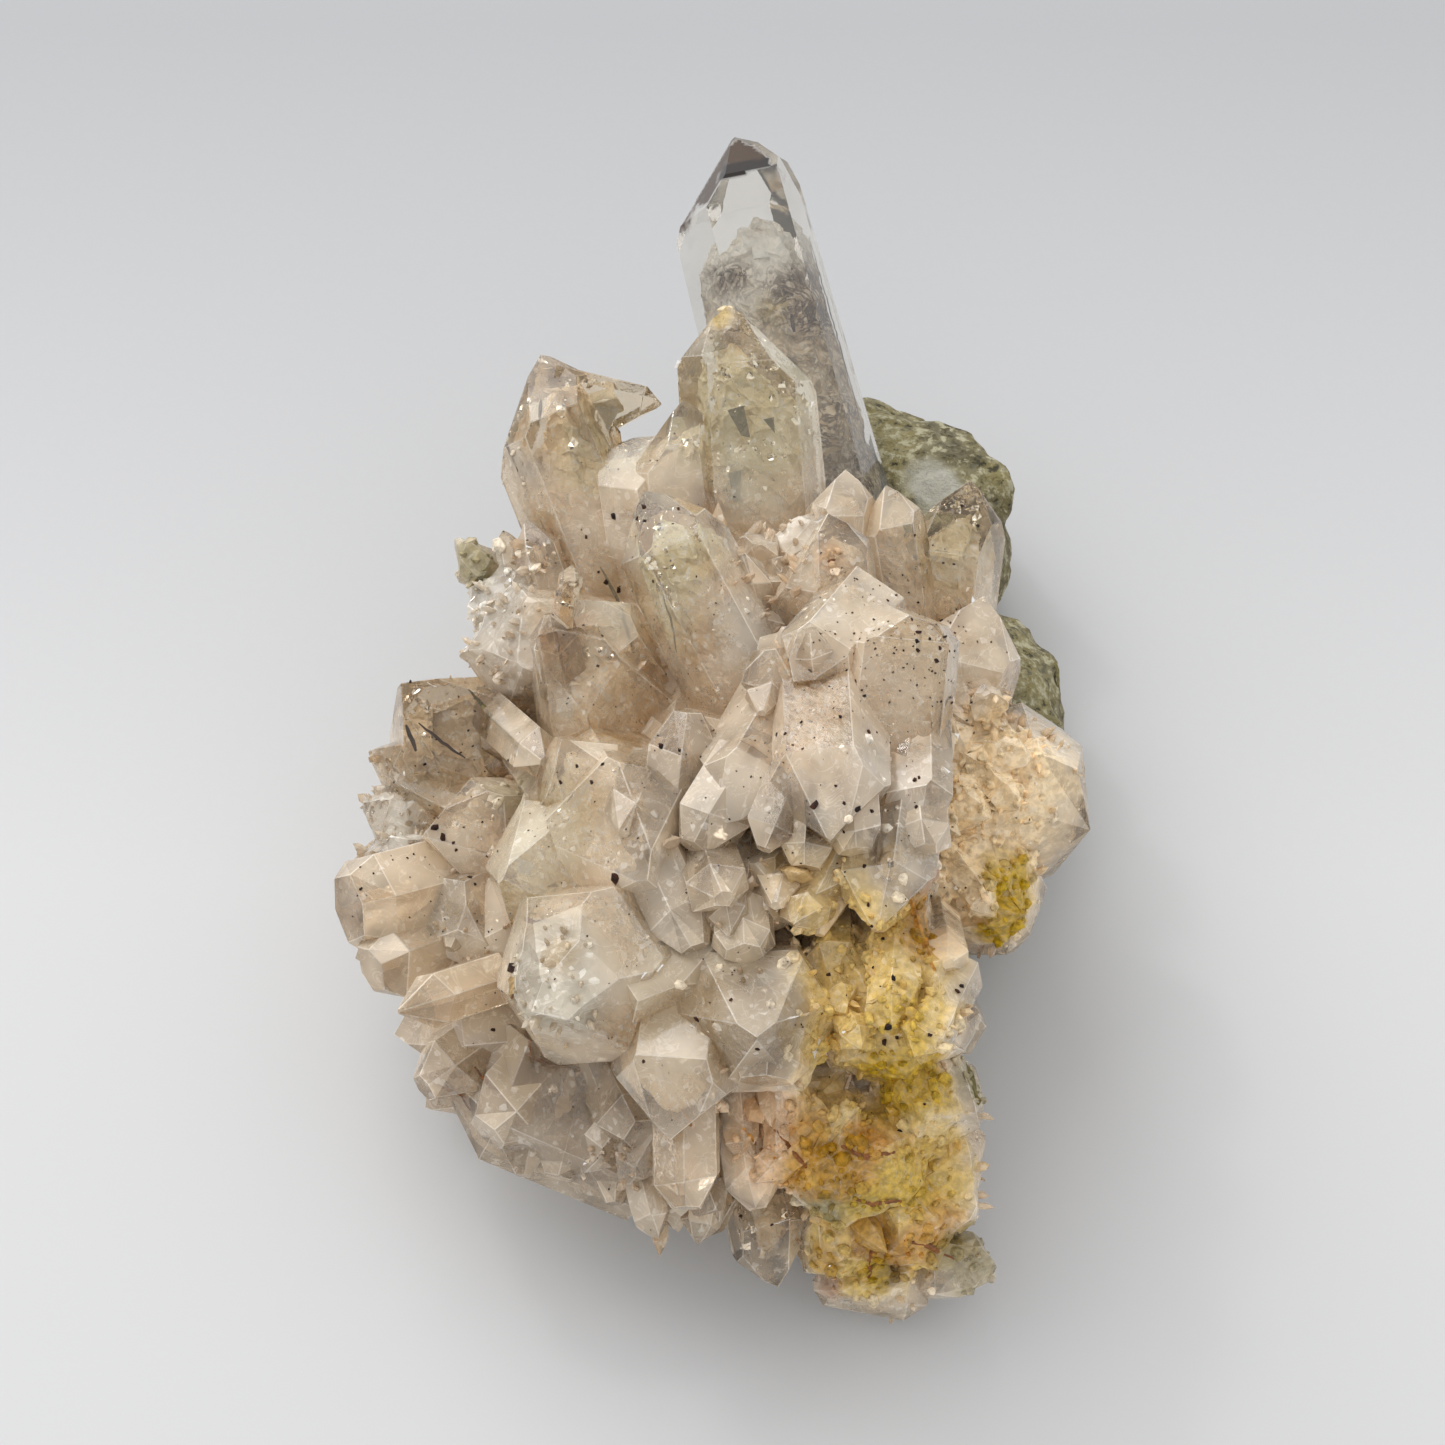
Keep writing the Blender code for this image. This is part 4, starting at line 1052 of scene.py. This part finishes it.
class QUARTZ_OT_veils(bpy.types.Operator):
    """Puts the milky and mossy veils into the tall point"""

    bl_idname = "quartz.veils"
    bl_label = "Veils in the tall point"

    def execute(self, context):
        axis = long_axis("tall_point")
        shape = merged_copy("tall_point")
        tip = max((vert.co for vert in shape.verts), key=lambda place: place.dot(axis)).copy()
        for lean in (0.7, -0.9):
            cut = bmesh.ops.bisect_plane(shape, geom=shape.verts[:] + shape.edges[:] + shape.faces[:],
                                         plane_co=tip - axis * VEIL_TOP * MM,
                                         plane_no=(axis + lean * RIGHT).normalized(), clear_outer=True)
            rim = [item for item in cut["geom_cut"] if isinstance(item, bmesh.types.BMEdge)]
            bmesh.ops.contextual_create(shape, geom=rim)
        bmesh.ops.triangulate(shape, faces=shape.faces)
        bmesh.ops.recalc_face_normals(shape, faces=shape.faces)
        base = to_object("veil_base", shape)
        piece = grown("mossy_veils", base, heart_tree(veil_finish()),
                      {"Depth": 0.0019, "Grid": 0.0005, "Broad": 0.0030, "Fine": 0.0007})
        bpy.data.objects.remove(base)
        places = coordinates(piece.data)
        view = in_view(places)
        ragged = 0.35 * cloud(places, 2.0) + 0.2 * cloud(places, 0.9, 4.0)
        tint = np.tile(np.array(TALL_TINTS["lilac"]), (len(places), 1))
        moss = np.clip(0.55 + 0.8 * cloud(places, 3.0, 8.0), 0.0, 1.0)
        for across, up, reach, name, strength in TALL_VEILS:
            away = np.linalg.norm(view - np.array((across, up)), axis=1) / reach + ragged
            amount = strength * np.clip(1.3 - away, 0.0, 1.0)
            tint = tint * (1.0 - amount[:, None]) + np.array(TALL_TINTS[name]) * amount[:, None]
            if name == "moss":
                moss = np.maximum(moss, amount * 1.3)
            if name == "cream":
                moss = moss * (1.0 - 0.85 * amount)
        store(piece.data, "tint", np.clip(tint, 0.0, 1.0))
        store(piece.data, "moss", np.clip(moss, 0.0, 1.0))
        finish_piece(piece, "clear_quartz")
        return {"FINISHED"}


# Host rock

def rock_finish():
    """Rough green-grey rock with dark grains, pale bits and yellow stains."""
    look = Finish("green_grey_host_rock")
    broad = look.noise(look.place, 6.0, 5.0, 0.6)
    fine = look.noise(look.place, 1.0, 4.0, 0.65)
    grains = look.add("ShaderNodeTexVoronoi", {"Vector": look.place, "Scale": 1100.0}, output="Color")
    shade = look.mix(look.ranged(broad, 0.4, 0.62), (0.25, 0.21, 0.085), (0.11, 0.09, 0.04))
    shade = look.mix(look.ranged(fine, 0.52, 0.62), shade, (0.46, 0.43, 0.28))
    shade = look.mix(look.ranged(fine, 0.44, 0.37), shade, (0.045, 0.04, 0.02))
    shade = look.mix(look.math("MULTIPLY", look.ranged(grains, 0.3, 0.8), 0.25), shade, (0.45, 0.42, 0.28))
    shade = look.mix(look.attribute("stain"), shade, look.attribute("tint", "Color"))
    look.set(Base_Color=shade, Roughness=look.ranged(fine, 0.3, 0.7, 0.9, 0.6),
             Normal=look.bump(fine, 0.6, 0.9, look.tilted(0.9, 0.5)))
    return look.material


ROCK_BULGES = ((19.5, 21.0, 8.0, 6.0), (19.0, 25.0, 5.0, 2.0))
ROCK_STAINS = (
    (22.6, 22.4, 3.0, "yellow", 0.9), (23.4, 20.4, 1.6, "rust", 0.7), (17.5, 26.8, 2.0, "straw", 0.9),
    (18.0, 20.5, 3.2, "grey", 0.9), (24.0, 17.0, 3.6, "olive", 0.7), (20.0, 25.0, 3.4, "straw", 0.5),
    (24.6, 19.4, 3.0, "olive", 0.8), (22.0, 15.6, 3.0, "straw", 0.45), (24.6, 23.6, 2.0, "yellow", 0.7),
)


class QUARTZ_OT_rock(bpy.types.Operator):
    """Gives the host rock its rough surface, grains and stains"""

    bl_idname = "quartz.rock"
    bl_label = "Host rock"

    def execute(self, context):
        shape = merged_copy("rock_matrix")
        refine(shape, 0.0011)
        bmesh.ops.recalc_face_normals(shape, faces=shape.faces)
        shape.normal_update()
        rock = SURFACES.trees["rock_matrix"]
        bulges = [(rock.ray_cast(*seen_line(across, up)), reach, push) for across, up, reach, push in ROCK_BULGES]
        for vert in shape.verts:
            if vert.co.z > 0.4 * MM:
                for hit, reach, push in bulges:
                    if hit[0] is not None:
                        near = max(0.0, 1.0 - (vert.co - hit[0]).length / (reach * MM))
                        vert.co += RIGHT * push * near * MM
                place = vert.co / MM
                rough = noise.noise(place / 2.6) + 0.6 * noise.noise(place / 1.2) + 0.35 * noise.noise(place / 0.6)
                vert.co += vert.normal * (0.45 * rough - 0.15) * MM
        piece = to_object("host_rock", shape)
        places = coordinates(piece.data)
        ragged = 0.35 * cloud(places, 2.2) + 0.2 * cloud(places, 0.8, 5.0)
        stain = np.zeros(len(places))
        tint = np.tile(np.array(TINTS["olive"][0]), (len(places), 1))
        for across, up, reach, name, strength in ROCK_STAINS:
            hit = SURFACES.seen(across, up)
            if hit is not None:
                amount = strength * spread(places, hit[0], reach, ragged)
                stain = np.maximum(stain, amount)
                tint = tint * (1.0 - amount[:, None]) + np.array(TINTS[name][0]) * amount[:, None]
        store(piece.data, "stain", stain)
        store(piece.data, "tint", tint)
        piece.data.shade_smooth()
        piece.data.materials.append(rock_finish())
        finish_piece(piece, "green_grey_rock", "rock_matrix")
        return {"FINISHED"}


# Lines and facets that stand out

LINES = (
    (((-27.4, -0.2), (-26.5, -2.5)), 0.5, "brown"), (((-26.3, 0.0), (-24.2, -1.7), (-22.2, -3.1)), 0.3, "brown"),
    (((-22.0, 3.0), (-19.0, -0.5), (-16.3, -4.4)), 0.45, "olive"), (((-15.7, 28.0), (-15.8, 26.3)), 0.35, "brown"),
    (((-18.9, 27.5), (-18.9, 24.5), (-17.4, 20.8)), 0.4, "brown"), (((8.3, 13.6), (9.4, 14.0), (10.8, 14.5)), 0.3, "rust"),
    (((-18.0, -16.7), (-16.4, -17.2), (-15.0, -17.0)), 0.4, "rust"), (((-18.5, -22.4), (-18.2, -24.8)), 0.5, "rust"),
    (((-17.5, -28.4), (-15.0, -29.6), (-12.3, -29.9)), 0.35, "rust"), (((15.5, -44.8), (17.5, -45.2), (20.0, -46.5)), 0.5, "rust"),
    (((10.4, -40.5), (13.0, -41.8), (15.5, -41.4)), 0.5, "rust"), (((14.0, -44.6), (12.8, -46.0), (12.6, -48.0)), 0.6, "rust"),
    (((10.2, -36.6), (12.5, -37.6), (15.0, -37.2)), 0.6, "rust"), (((16.0, -14.0), (17.0, -17.5), (18.4, -21.5)), 0.7, "orange"),
    (((21.0, -29.0), (21.8, -31.0), (22.2, -33.5)), 0.9, "olive"), (((28.0, 7.0), (29.0, 4.5), (29.2, 1.5)), 0.9, "olive"),
    (((-19.2, -21.0), (-18.2, -22.6), (-18.7, -25.0)), 1.1, "golden"), (((-17.0, -26.6), (-16.4, -29.4)), 0.6, "rust"),
    (((-27.8, -27.4), (-25.0, -31.0), (-22.6, -32.4), (-21.2, -34.4), (-18.6, -34.6)), 0.35, "rust"),
    (((-21.4, -29.8), (-20.0, -31.6), (-18.2, -32.2)), 0.35, "rust"),
    (((0.6, -34.0), (3.0, -36.5), (5.0, -38.0)), 0.45, "orange"), (((3.0, -34.0), (5.2, -36.0), (8.2, -39.6)), 0.4, "rust"),
    (((-10.5, 13.4), (-9.0, 10.5), (-7.8, 6.5)), 0.35, "olive"), (((-5.2, 11.0), (-4.4, 8.5), (-4.0, 6.0)), 0.3, "olive"),
    (((7.5, 42.0), (9.5, 35.0), (12.0, 26.0)), 0.35, "brown"), (((5.0, 46.0), (7.0, 46.3)), 0.3, "brown"),
    (((6.0, 35.3), (6.2, 33.8)), 0.4, "brown"), (((-3.6, -33.4), (-2.0, -35.6)), 0.3, "orange"),
)
# Facets under the surface: their corners across and up, their tint and their depth; the white ones are painted
# reflections, faces painted near-white where the crystals catch the light
FACETS = (
    (((-18.2, -11.4), (-16.2, -11.9), (-16.4, -13.4), (-17.9, -13.2)), "white", 0.14),
    (((11.4, -0.4), (13.4, 0.2), (14.6, -2.6), (12.4, -3.6)), "white", 0.14),
    (((11.2, -13.8), (13.6, -13.6), (13.0, -17.2), (11.4, -16.0)), "white", 0.14),
    (((-11.0, 27.4), (-8.8, 27.2), (-10.0, 25.0)), "white", 0.14),
    (((2.2, -25.6), (3.6, -25.2), (3.8, -27.0), (2.4, -27.4)), "white", 0.14),
    (((7.4, -27.6), (8.8, -27.0), (9.2, -29.0), (7.9, -29.3)), "white", 0.14),
    (((10.2, -24.0), (11.4, -23.6), (11.2, -24.9)), "white", 0.14),
    (((-31.0, -9.0), (-29.4, -8.4), (-29.8, -10.2)), "white", 0.14),
    (((0.4, -17.6), (1.8, -17.0), (2.0, -18.8), (0.8, -19.0)), "white", 0.14),
    (((-14.4, 2.0), (-13.0, 2.4), (-12.8, 0.6), (-14.0, 0.2)), "white", 0.14),
    (((0.4, 27.0), (1.8, 27.4), (2.4, 24.6), (1.6, 24.8)), "smoke", 0.6),
    (((0.5, 21.6), (1.6, 21.8), (1.5, 19.2), (0.9, 19.0)), "smoke", 0.6),
    (((3.5, 26.2), (4.4, 26.4), (4.5, 25.0)), "smoke", 0.6),
)
# The white facet tint is a painted reflection
FACET_TINTS = {"white": (0.97, 0.95, 0.90), "smoke": (0.34, 0.32, 0.25)}
FACET_THICKNESS = 0.08
LINE_STEP = 0.45
LINE_BREAK = 1.6


def facet_finish():
    """Flat inner faces that stand out light or dark; the light ones are painted reflections."""
    look = Finish("inner_facet")
    grain = look.noise(look.place, 0.6, 2.0)
    tint = look.attribute("tint", "Color")
    look.set(Base_Color=look.mix(look.ranged(grain, 0.35, 0.65, 0.0, 0.5), tint, look.mix(0.5, tint, (0.75, 0.66, 0.55))),
             Roughness=look.ranged(grain, 0.3, 0.7, 0.1, 0.4), Transmission_Weight=0.2, IOR=1.45,
             Normal=look.bump(grain, 0.1, 0.5))
    return look.material


def line_finish():
    """Brown and rusty stain in narrow cracks."""
    look = Finish("stain_in_cracks")
    grain = look.noise(look.place, 0.5, 2.0)
    shade = look.mix(look.ranged(grain, 0.4, 0.6), look.attribute("tint", "Color"),
                     look.mix(1.0, look.attribute("tint", "Color"), (0.5, 0.5, 0.5), "MULTIPLY"))
    look.set(Base_Color=shade, Roughness=0.5, Normal=look.bump(grain, 0.1, 0.5))
    return look.material


def along(points, step):
    """Places at even steps along a bent line."""
    found = []
    for one, two in zip(points, points[1:]):
        count = max(2, round(math.dist(one, two) / step))
        found += [tuple(a + (b - a) * index / count for a, b in zip(one, two)) for index in range(count)]
    return found + [points[-1]]


def covered(corner, hit, depth):
    """Whether a corner of a facet at this depth lies under the surface where it is seen."""
    front = SURFACES.seen(*corner)
    if front is None:
        return False
    eye, way = seen_line(*corner)
    reach = (hit[0] - hit[1] * depth * MM - eye).dot(hit[1]) / way.dot(hit[1])
    return front[3] < reach < front[3] + 2.0 * MM


def thread(shape, rings):
    """A closed three-sided thread through rings of points."""
    made = [[shape.verts.new(place) for place in ring] for ring in rings]
    for one, two in zip(made, made[1:]):
        for side in range(3):
            after = (side + 1) % 3
            shape.faces.new((one[side], one[after], two[after], two[side]))
    shape.faces.new(list(reversed(made[0])))
    shape.faces.new(made[-1])
    return [vert for ring in made for vert in ring]


class QUARTZ_OT_lines(bpy.types.Operator):
    """Draws the thin stained cracks and the pale facets that stand out, which are painted reflections"""

    bl_idname = "quartz.lines"
    bl_label = "Stained cracks"

    def execute(self, context):
        for name in ("quartz_crystals", "medium_crystals", "stained_grains"):
            SURFACES.add(name, bpy.data.objects[name].data)
        rng = random.Random(9)
        shape = bmesh.new()
        tints = []
        for points, width, name in LINES:
            runs, last = [[]], None
            steps = along(points, LINE_STEP)
            for index, (across, up) in enumerate(steps):
                hit = SURFACES.seen(across + rng.uniform(-0.05, 0.05), up + rng.uniform(-0.05, 0.05))
                if hit is None or (last is not None and (hit[0] - last).length > LINE_BREAK * MM):
                    runs.append([])
                if hit is not None:
                    runs[-1].append((hit, math.sin(math.pi * (index + 0.5) / len(steps))))
                    last = hit[0]
            for run in runs:
                if len(run) < 3:
                    continue
                rings = []
                for index, (hit, fat) in enumerate(run):
                    way = run[min(index + 1, len(run) - 1)][0][0] - run[max(index - 1, 0)][0][0]
                    side = way.cross(hit[1]).normalized() * width * 0.5 * (0.25 + 0.75 * fat) * MM
                    low = hit[0] - hit[1] * 0.12 * MM
                    rings.append((low + side, low - side, low + hit[1] * width * 0.25 * fat * MM))
                made = thread(shape, rings)
                tints += [TINTS[name][0]] * len(made)
        bmesh.ops.triangulate(shape, faces=shape.faces)
        bmesh.ops.recalc_face_normals(shape, faces=shape.faces)
        piece = to_object("stained_cracks", shape)
        store(piece.data, "tint", np.array(tints))
        piece.data.materials.append(line_finish())
        finish_piece(piece, "green_grey_rock")
        shape = bmesh.new()
        tints = []
        # Pale facets are painted reflections of light on inner faces
        for corners, name, depth in FACETS:
            middle = tuple(sum(values) / len(corners) for values in zip(*corners))
            hit = SURFACES.seen(*middle)
            if hit is None:
                continue
            for _ in range(5):
                if all(covered(corner, hit, depth) for corner in corners):
                    break
                corners = [tuple(m + 0.85 * (c - m) for c, m in zip(corner, middle)) for corner in corners]
            else:
                continue
            rings = []
            for depth in (depth + FACET_THICKNESS, depth):
                plane = hit[0] - hit[1] * depth * MM
                ring = []
                for across, up in corners:
                    eye, way = seen_line(across, up)
                    reach = (plane - eye).dot(hit[1]) / way.dot(hit[1])
                    ring.append(shape.verts.new(eye + way * reach))
                rings.append(ring)
            tints += [FACET_TINTS[name]] * (2 * len(corners))
            shape.faces.new(rings[1])
            shape.faces.new(list(reversed(rings[0])))
            for side in range(len(corners)):
                after = (side + 1) % len(corners)
                shape.faces.new((rings[0][side], rings[0][after], rings[1][after], rings[1][side]))
        bmesh.ops.recalc_face_normals(shape, faces=shape.faces)
        piece = to_object("inner_facets", shape)
        store(piece.data, "tint", np.array(tints))
        piece.data.materials.append(facet_finish())
        finish_piece(piece, "milky_quartz")
        return {"FINISHED"}


# Specks

def speck_finish():
    """Dark red-brown grains."""
    look = Finish("dark_red_brown_grain")
    grain = look.noise(look.place, 0.5, 2.0)
    shade = look.mix(look.ranged(grain, 0.4, 0.6), (0.008, 0.003, 0.002), (0.045, 0.013, 0.005))
    look.set(Base_Color=shade, Roughness=0.6, Specular_IOR_Level=0.25,
             Normal=look.bump(grain, 0.1, 0.5))
    return look.material


def pebble(name):
    """A small uneven grain of unit size."""
    shape = bmesh.new()
    bmesh.ops.create_icosphere(shape, subdivisions=1, radius=0.5)
    for vert in shape.verts:
        vert.co *= 1.0 + 0.6 * noise.noise(vert.co * 3.0)
    return to_object(name, shape)


def scatter_tree(finish):
    """A node tree that puts an uneven grain at each point, of the point's size and along its normal."""
    tree = bpy.data.node_groups.new("grain_at_points", "GeometryNodeTree")
    face = tree.interface
    face.new_socket("Geometry", in_out="INPUT", socket_type="NodeSocketGeometry")
    face.new_socket("Grain", in_out="INPUT", socket_type="NodeSocketObject")
    flatness = face.new_socket("Flatness", in_out="INPUT", socket_type="NodeSocketFloat")
    flatness.default_value = 0.5
    face.new_socket("Seed", in_out="INPUT", socket_type="NodeSocketInt")
    face.new_socket("Geometry", in_out="OUTPUT", socket_type="NodeSocketGeometry")
    graph = Graph(tree)
    given = tree.nodes.new("NodeGroupInput").outputs
    grain = graph.add("GeometryNodeObjectInfo", {"Object": given["Grain"]}, output="Geometry")
    size = graph.add("GeometryNodeInputNamedAttribute", {"Name": "size"}, data_type="FLOAT")
    facing = graph.add("GeometryNodeInputNamedAttribute", {"Name": "facing"}, data_type="FLOAT_VECTOR")
    turn = graph.add("FunctionNodeAlignRotationToVector", {"Vector": facing}, axis="Z")
    thin = graph.math("MULTIPLY", size, given["Flatness"])
    long = graph.add("FunctionNodeRandomValue", {"Min": 0.8, "Max": 1.5, "Seed": given["Seed"]}, output=1)
    scale = graph.add("ShaderNodeCombineXYZ", {"X": graph.math("MULTIPLY", size, long), "Y": size, "Z": thin})
    placed = graph.add("GeometryNodeInstanceOnPoints", {"Points": given["Geometry"], "Instance": grain,
                                                         "Rotation": turn, "Scale": scale})
    spun = graph.add("FunctionNodeRandomValue", {0: (0.0, 0.0, 0.0), 1: (0.3, 0.3, 6.283), "Seed": given["Seed"]},
                     data_type="FLOAT_VECTOR")
    turned = graph.add("GeometryNodeRotateInstances", {"Instances": placed, "Rotation": spun})
    real = graph.add("GeometryNodeRealizeInstances", {"Geometry": turned})
    done = graph.add("GeometryNodeSetMaterial", {"Geometry": real, "Material": finish})
    tree.links.new(done, tree.nodes.new("NodeGroupOutput").inputs[0])
    return tree


class QUARTZ_OT_specks(bpy.types.Operator):
    """Puts the dark grains on the faces"""

    bl_idname = "quartz.specks"
    bl_label = "Dark specks"

    def execute(self, context):
        rng = random.Random(5)
        rows = [(across, up, size) for across, up, size in SPECKS]
        rows += [(rng.gauss(-2.0, 15.0), rng.gauss(-5.0, 16.0), rng.uniform(0.10, 0.26)) for _ in range(360)]
        rows += [(rng.gauss(15.0, 4.0), rng.gauss(6.0, 3.6), rng.uniform(0.14, 0.32)) for _ in range(110)]
        rows += [(rng.gauss(-25.0, 5.0), rng.gauss(-9.0, 7.0), rng.uniform(0.14, 0.30)) for _ in range(55)]
        places, normals, sizes = [], [], []
        for across, up, size in rows:
            hit = SURFACES.seen(across, up)
            if hit is not None and hit[2] != "tall_point":
                places.append(hit[0] + hit[1] * 0.02 * MM)
                normals.append(hit[1])
                sizes.append(0.72 * size * MM)
        mesh = bpy.data.meshes.new("speck_places")
        mesh.from_pydata([tuple(place) for place in places], [], [])
        store(mesh, "size", np.array(sizes))
        facing = mesh.attributes.new("facing", "FLOAT_VECTOR", "POINT")
        facing.data.foreach_set("vector", np.array(normals, np.float32).ravel())
        base = add_object("speck_places", mesh)
        grain = pebble("speck_grain")
        piece = grown("dark_specks", base, scatter_tree(speck_finish()), {"Grain": grain, "Flatness": 0.5, "Seed": 3})
        bpy.data.objects.remove(base)
        bpy.data.objects.remove(grain)
        finish_piece(piece, "green_grey_rock")
        return {"FINISHED"}


# Stage

class QUARTZ_OT_stage(bpy.types.Operator):
    """Makes the pale floor, the soft light and the camera"""

    bl_idname = "quartz.stage"
    bl_label = "Stage"

    def execute(self, context):
        scene = context.scene
        settings = scene.stage_look
        shape = bmesh.new()
        bmesh.ops.create_grid(shape, x_segments=2, y_segments=2, size=1.2)
        floor = to_object("floor", shape)
        look = Finish("pale_paper")
        # Painted shade: the floor colour runs from the near tint to the darker far tint along its length
        along = look.add("ShaderNodeSeparateXYZ", {"Vector": look.place}, output="Y")
        fibre = look.noise(look.place, 0.9, 1.0)
        painted_falloff = look.ranged(look.math("ADD", along, look.math("MULTIPLY", fibre, 0.006)), 0.0, 0.11)
        look.set(Base_Color=look.mix(painted_falloff, settings.floor_tint[:], settings.far_tint[:]), Roughness=0.9)
        floor.data.materials.append(look.material)
        world = bpy.data.worlds.new("studio")
        scene.world = world
        world.use_nodes = True
        background = world.node_tree.nodes["Background"]
        background.inputs["Color"].default_value = (0.99, 0.99, 1.0, 1.0)
        background.inputs["Strength"].default_value = settings.light
        for name, place, power, size in (("window", (-0.36, 0.42, 0.62), settings.window, 0.08),
                                         ("panel", (-0.55, 0.75, 0.95), settings.panel, 1.1)):
            lamp = bpy.data.lights.new(name, "AREA")
            lamp.energy = power
            lamp.size = size
            made = bpy.data.objects.new(name, lamp)
            made.location = place
            made.rotation_euler = Vector(place).to_track_quat("Z", "Y").to_euler()
            scene.collection.objects.link(made)
        camera = bpy.data.objects.new("camera", bpy.data.cameras.new("camera"))
        camera.data.lens = 85.0
        camera.data.sensor_width = 36.0
        camera.data.clip_start = 0.01
        camera.location = EYE * MM
        camera.rotation_euler = TOWARD.to_track_quat("Z", "Y").to_euler()
        scene.collection.objects.link(camera)
        scene.camera = camera
        scene.view_settings.view_transform = "Standard"
        scene.cycles.max_bounces = 10
        scene.cycles.transmission_bounces = 10
        scene.cycles.diffuse_bounces = 4
        return {"FINISHED"}


class QUARTZ_PT_panel(bpy.types.Panel):
    """Lists the steps that build the specimen"""

    bl_label = "Quartz specimen"
    bl_space_type = "VIEW_3D"
    bl_region_type = "UI"
    bl_category = "Quartz"

    def draw(self, context):
        for settings in (context.scene.quartz, context.scene.stage_look):
            for key in settings.__annotations__:
                self.layout.prop(settings, key)
        for operator in OPERATORS:
            self.layout.operator(operator.bl_idname)


OPERATORS = (QUARTZ_OT_rock, QUARTZ_OT_heart, QUARTZ_OT_crystals, QUARTZ_OT_medium_crystals, QUARTZ_OT_small_crystals, QUARTZ_OT_fractures,
             QUARTZ_OT_tall_point, QUARTZ_OT_veils, QUARTZ_OT_lines, QUARTZ_OT_specks, QUARTZ_OT_stage)
CLASSES = (QuartzSettings, StageSettings, *OPERATORS, QUARTZ_PT_panel)


def register():
    """Registers the classes and hangs the settings on the scene."""
    for item in CLASSES:
        bpy.utils.register_class(item)
    bpy.types.Scene.quartz = PointerProperty(type=QuartzSettings)
    bpy.types.Scene.stage_look = PointerProperty(type=StageSettings)


def unregister():
    """Takes them off again."""
    del bpy.types.Scene.stage_look
    del bpy.types.Scene.quartz
    for item in reversed(CLASSES):
        bpy.utils.unregister_class(item)


def main():
    """Builds every piece and the stage."""
    register()
    bpy.ops.quartz.rock()
    bpy.ops.quartz.heart()
    bpy.ops.quartz.crystals()
    bpy.ops.quartz.medium_crystals()
    bpy.ops.quartz.small_crystals()
    bpy.ops.quartz.fractures()
    bpy.ops.quartz.tall_point()
    bpy.ops.quartz.veils()
    bpy.ops.quartz.lines()
    bpy.ops.quartz.specks()
    bpy.ops.quartz.stage()


if __name__ == "__main__":
    main()
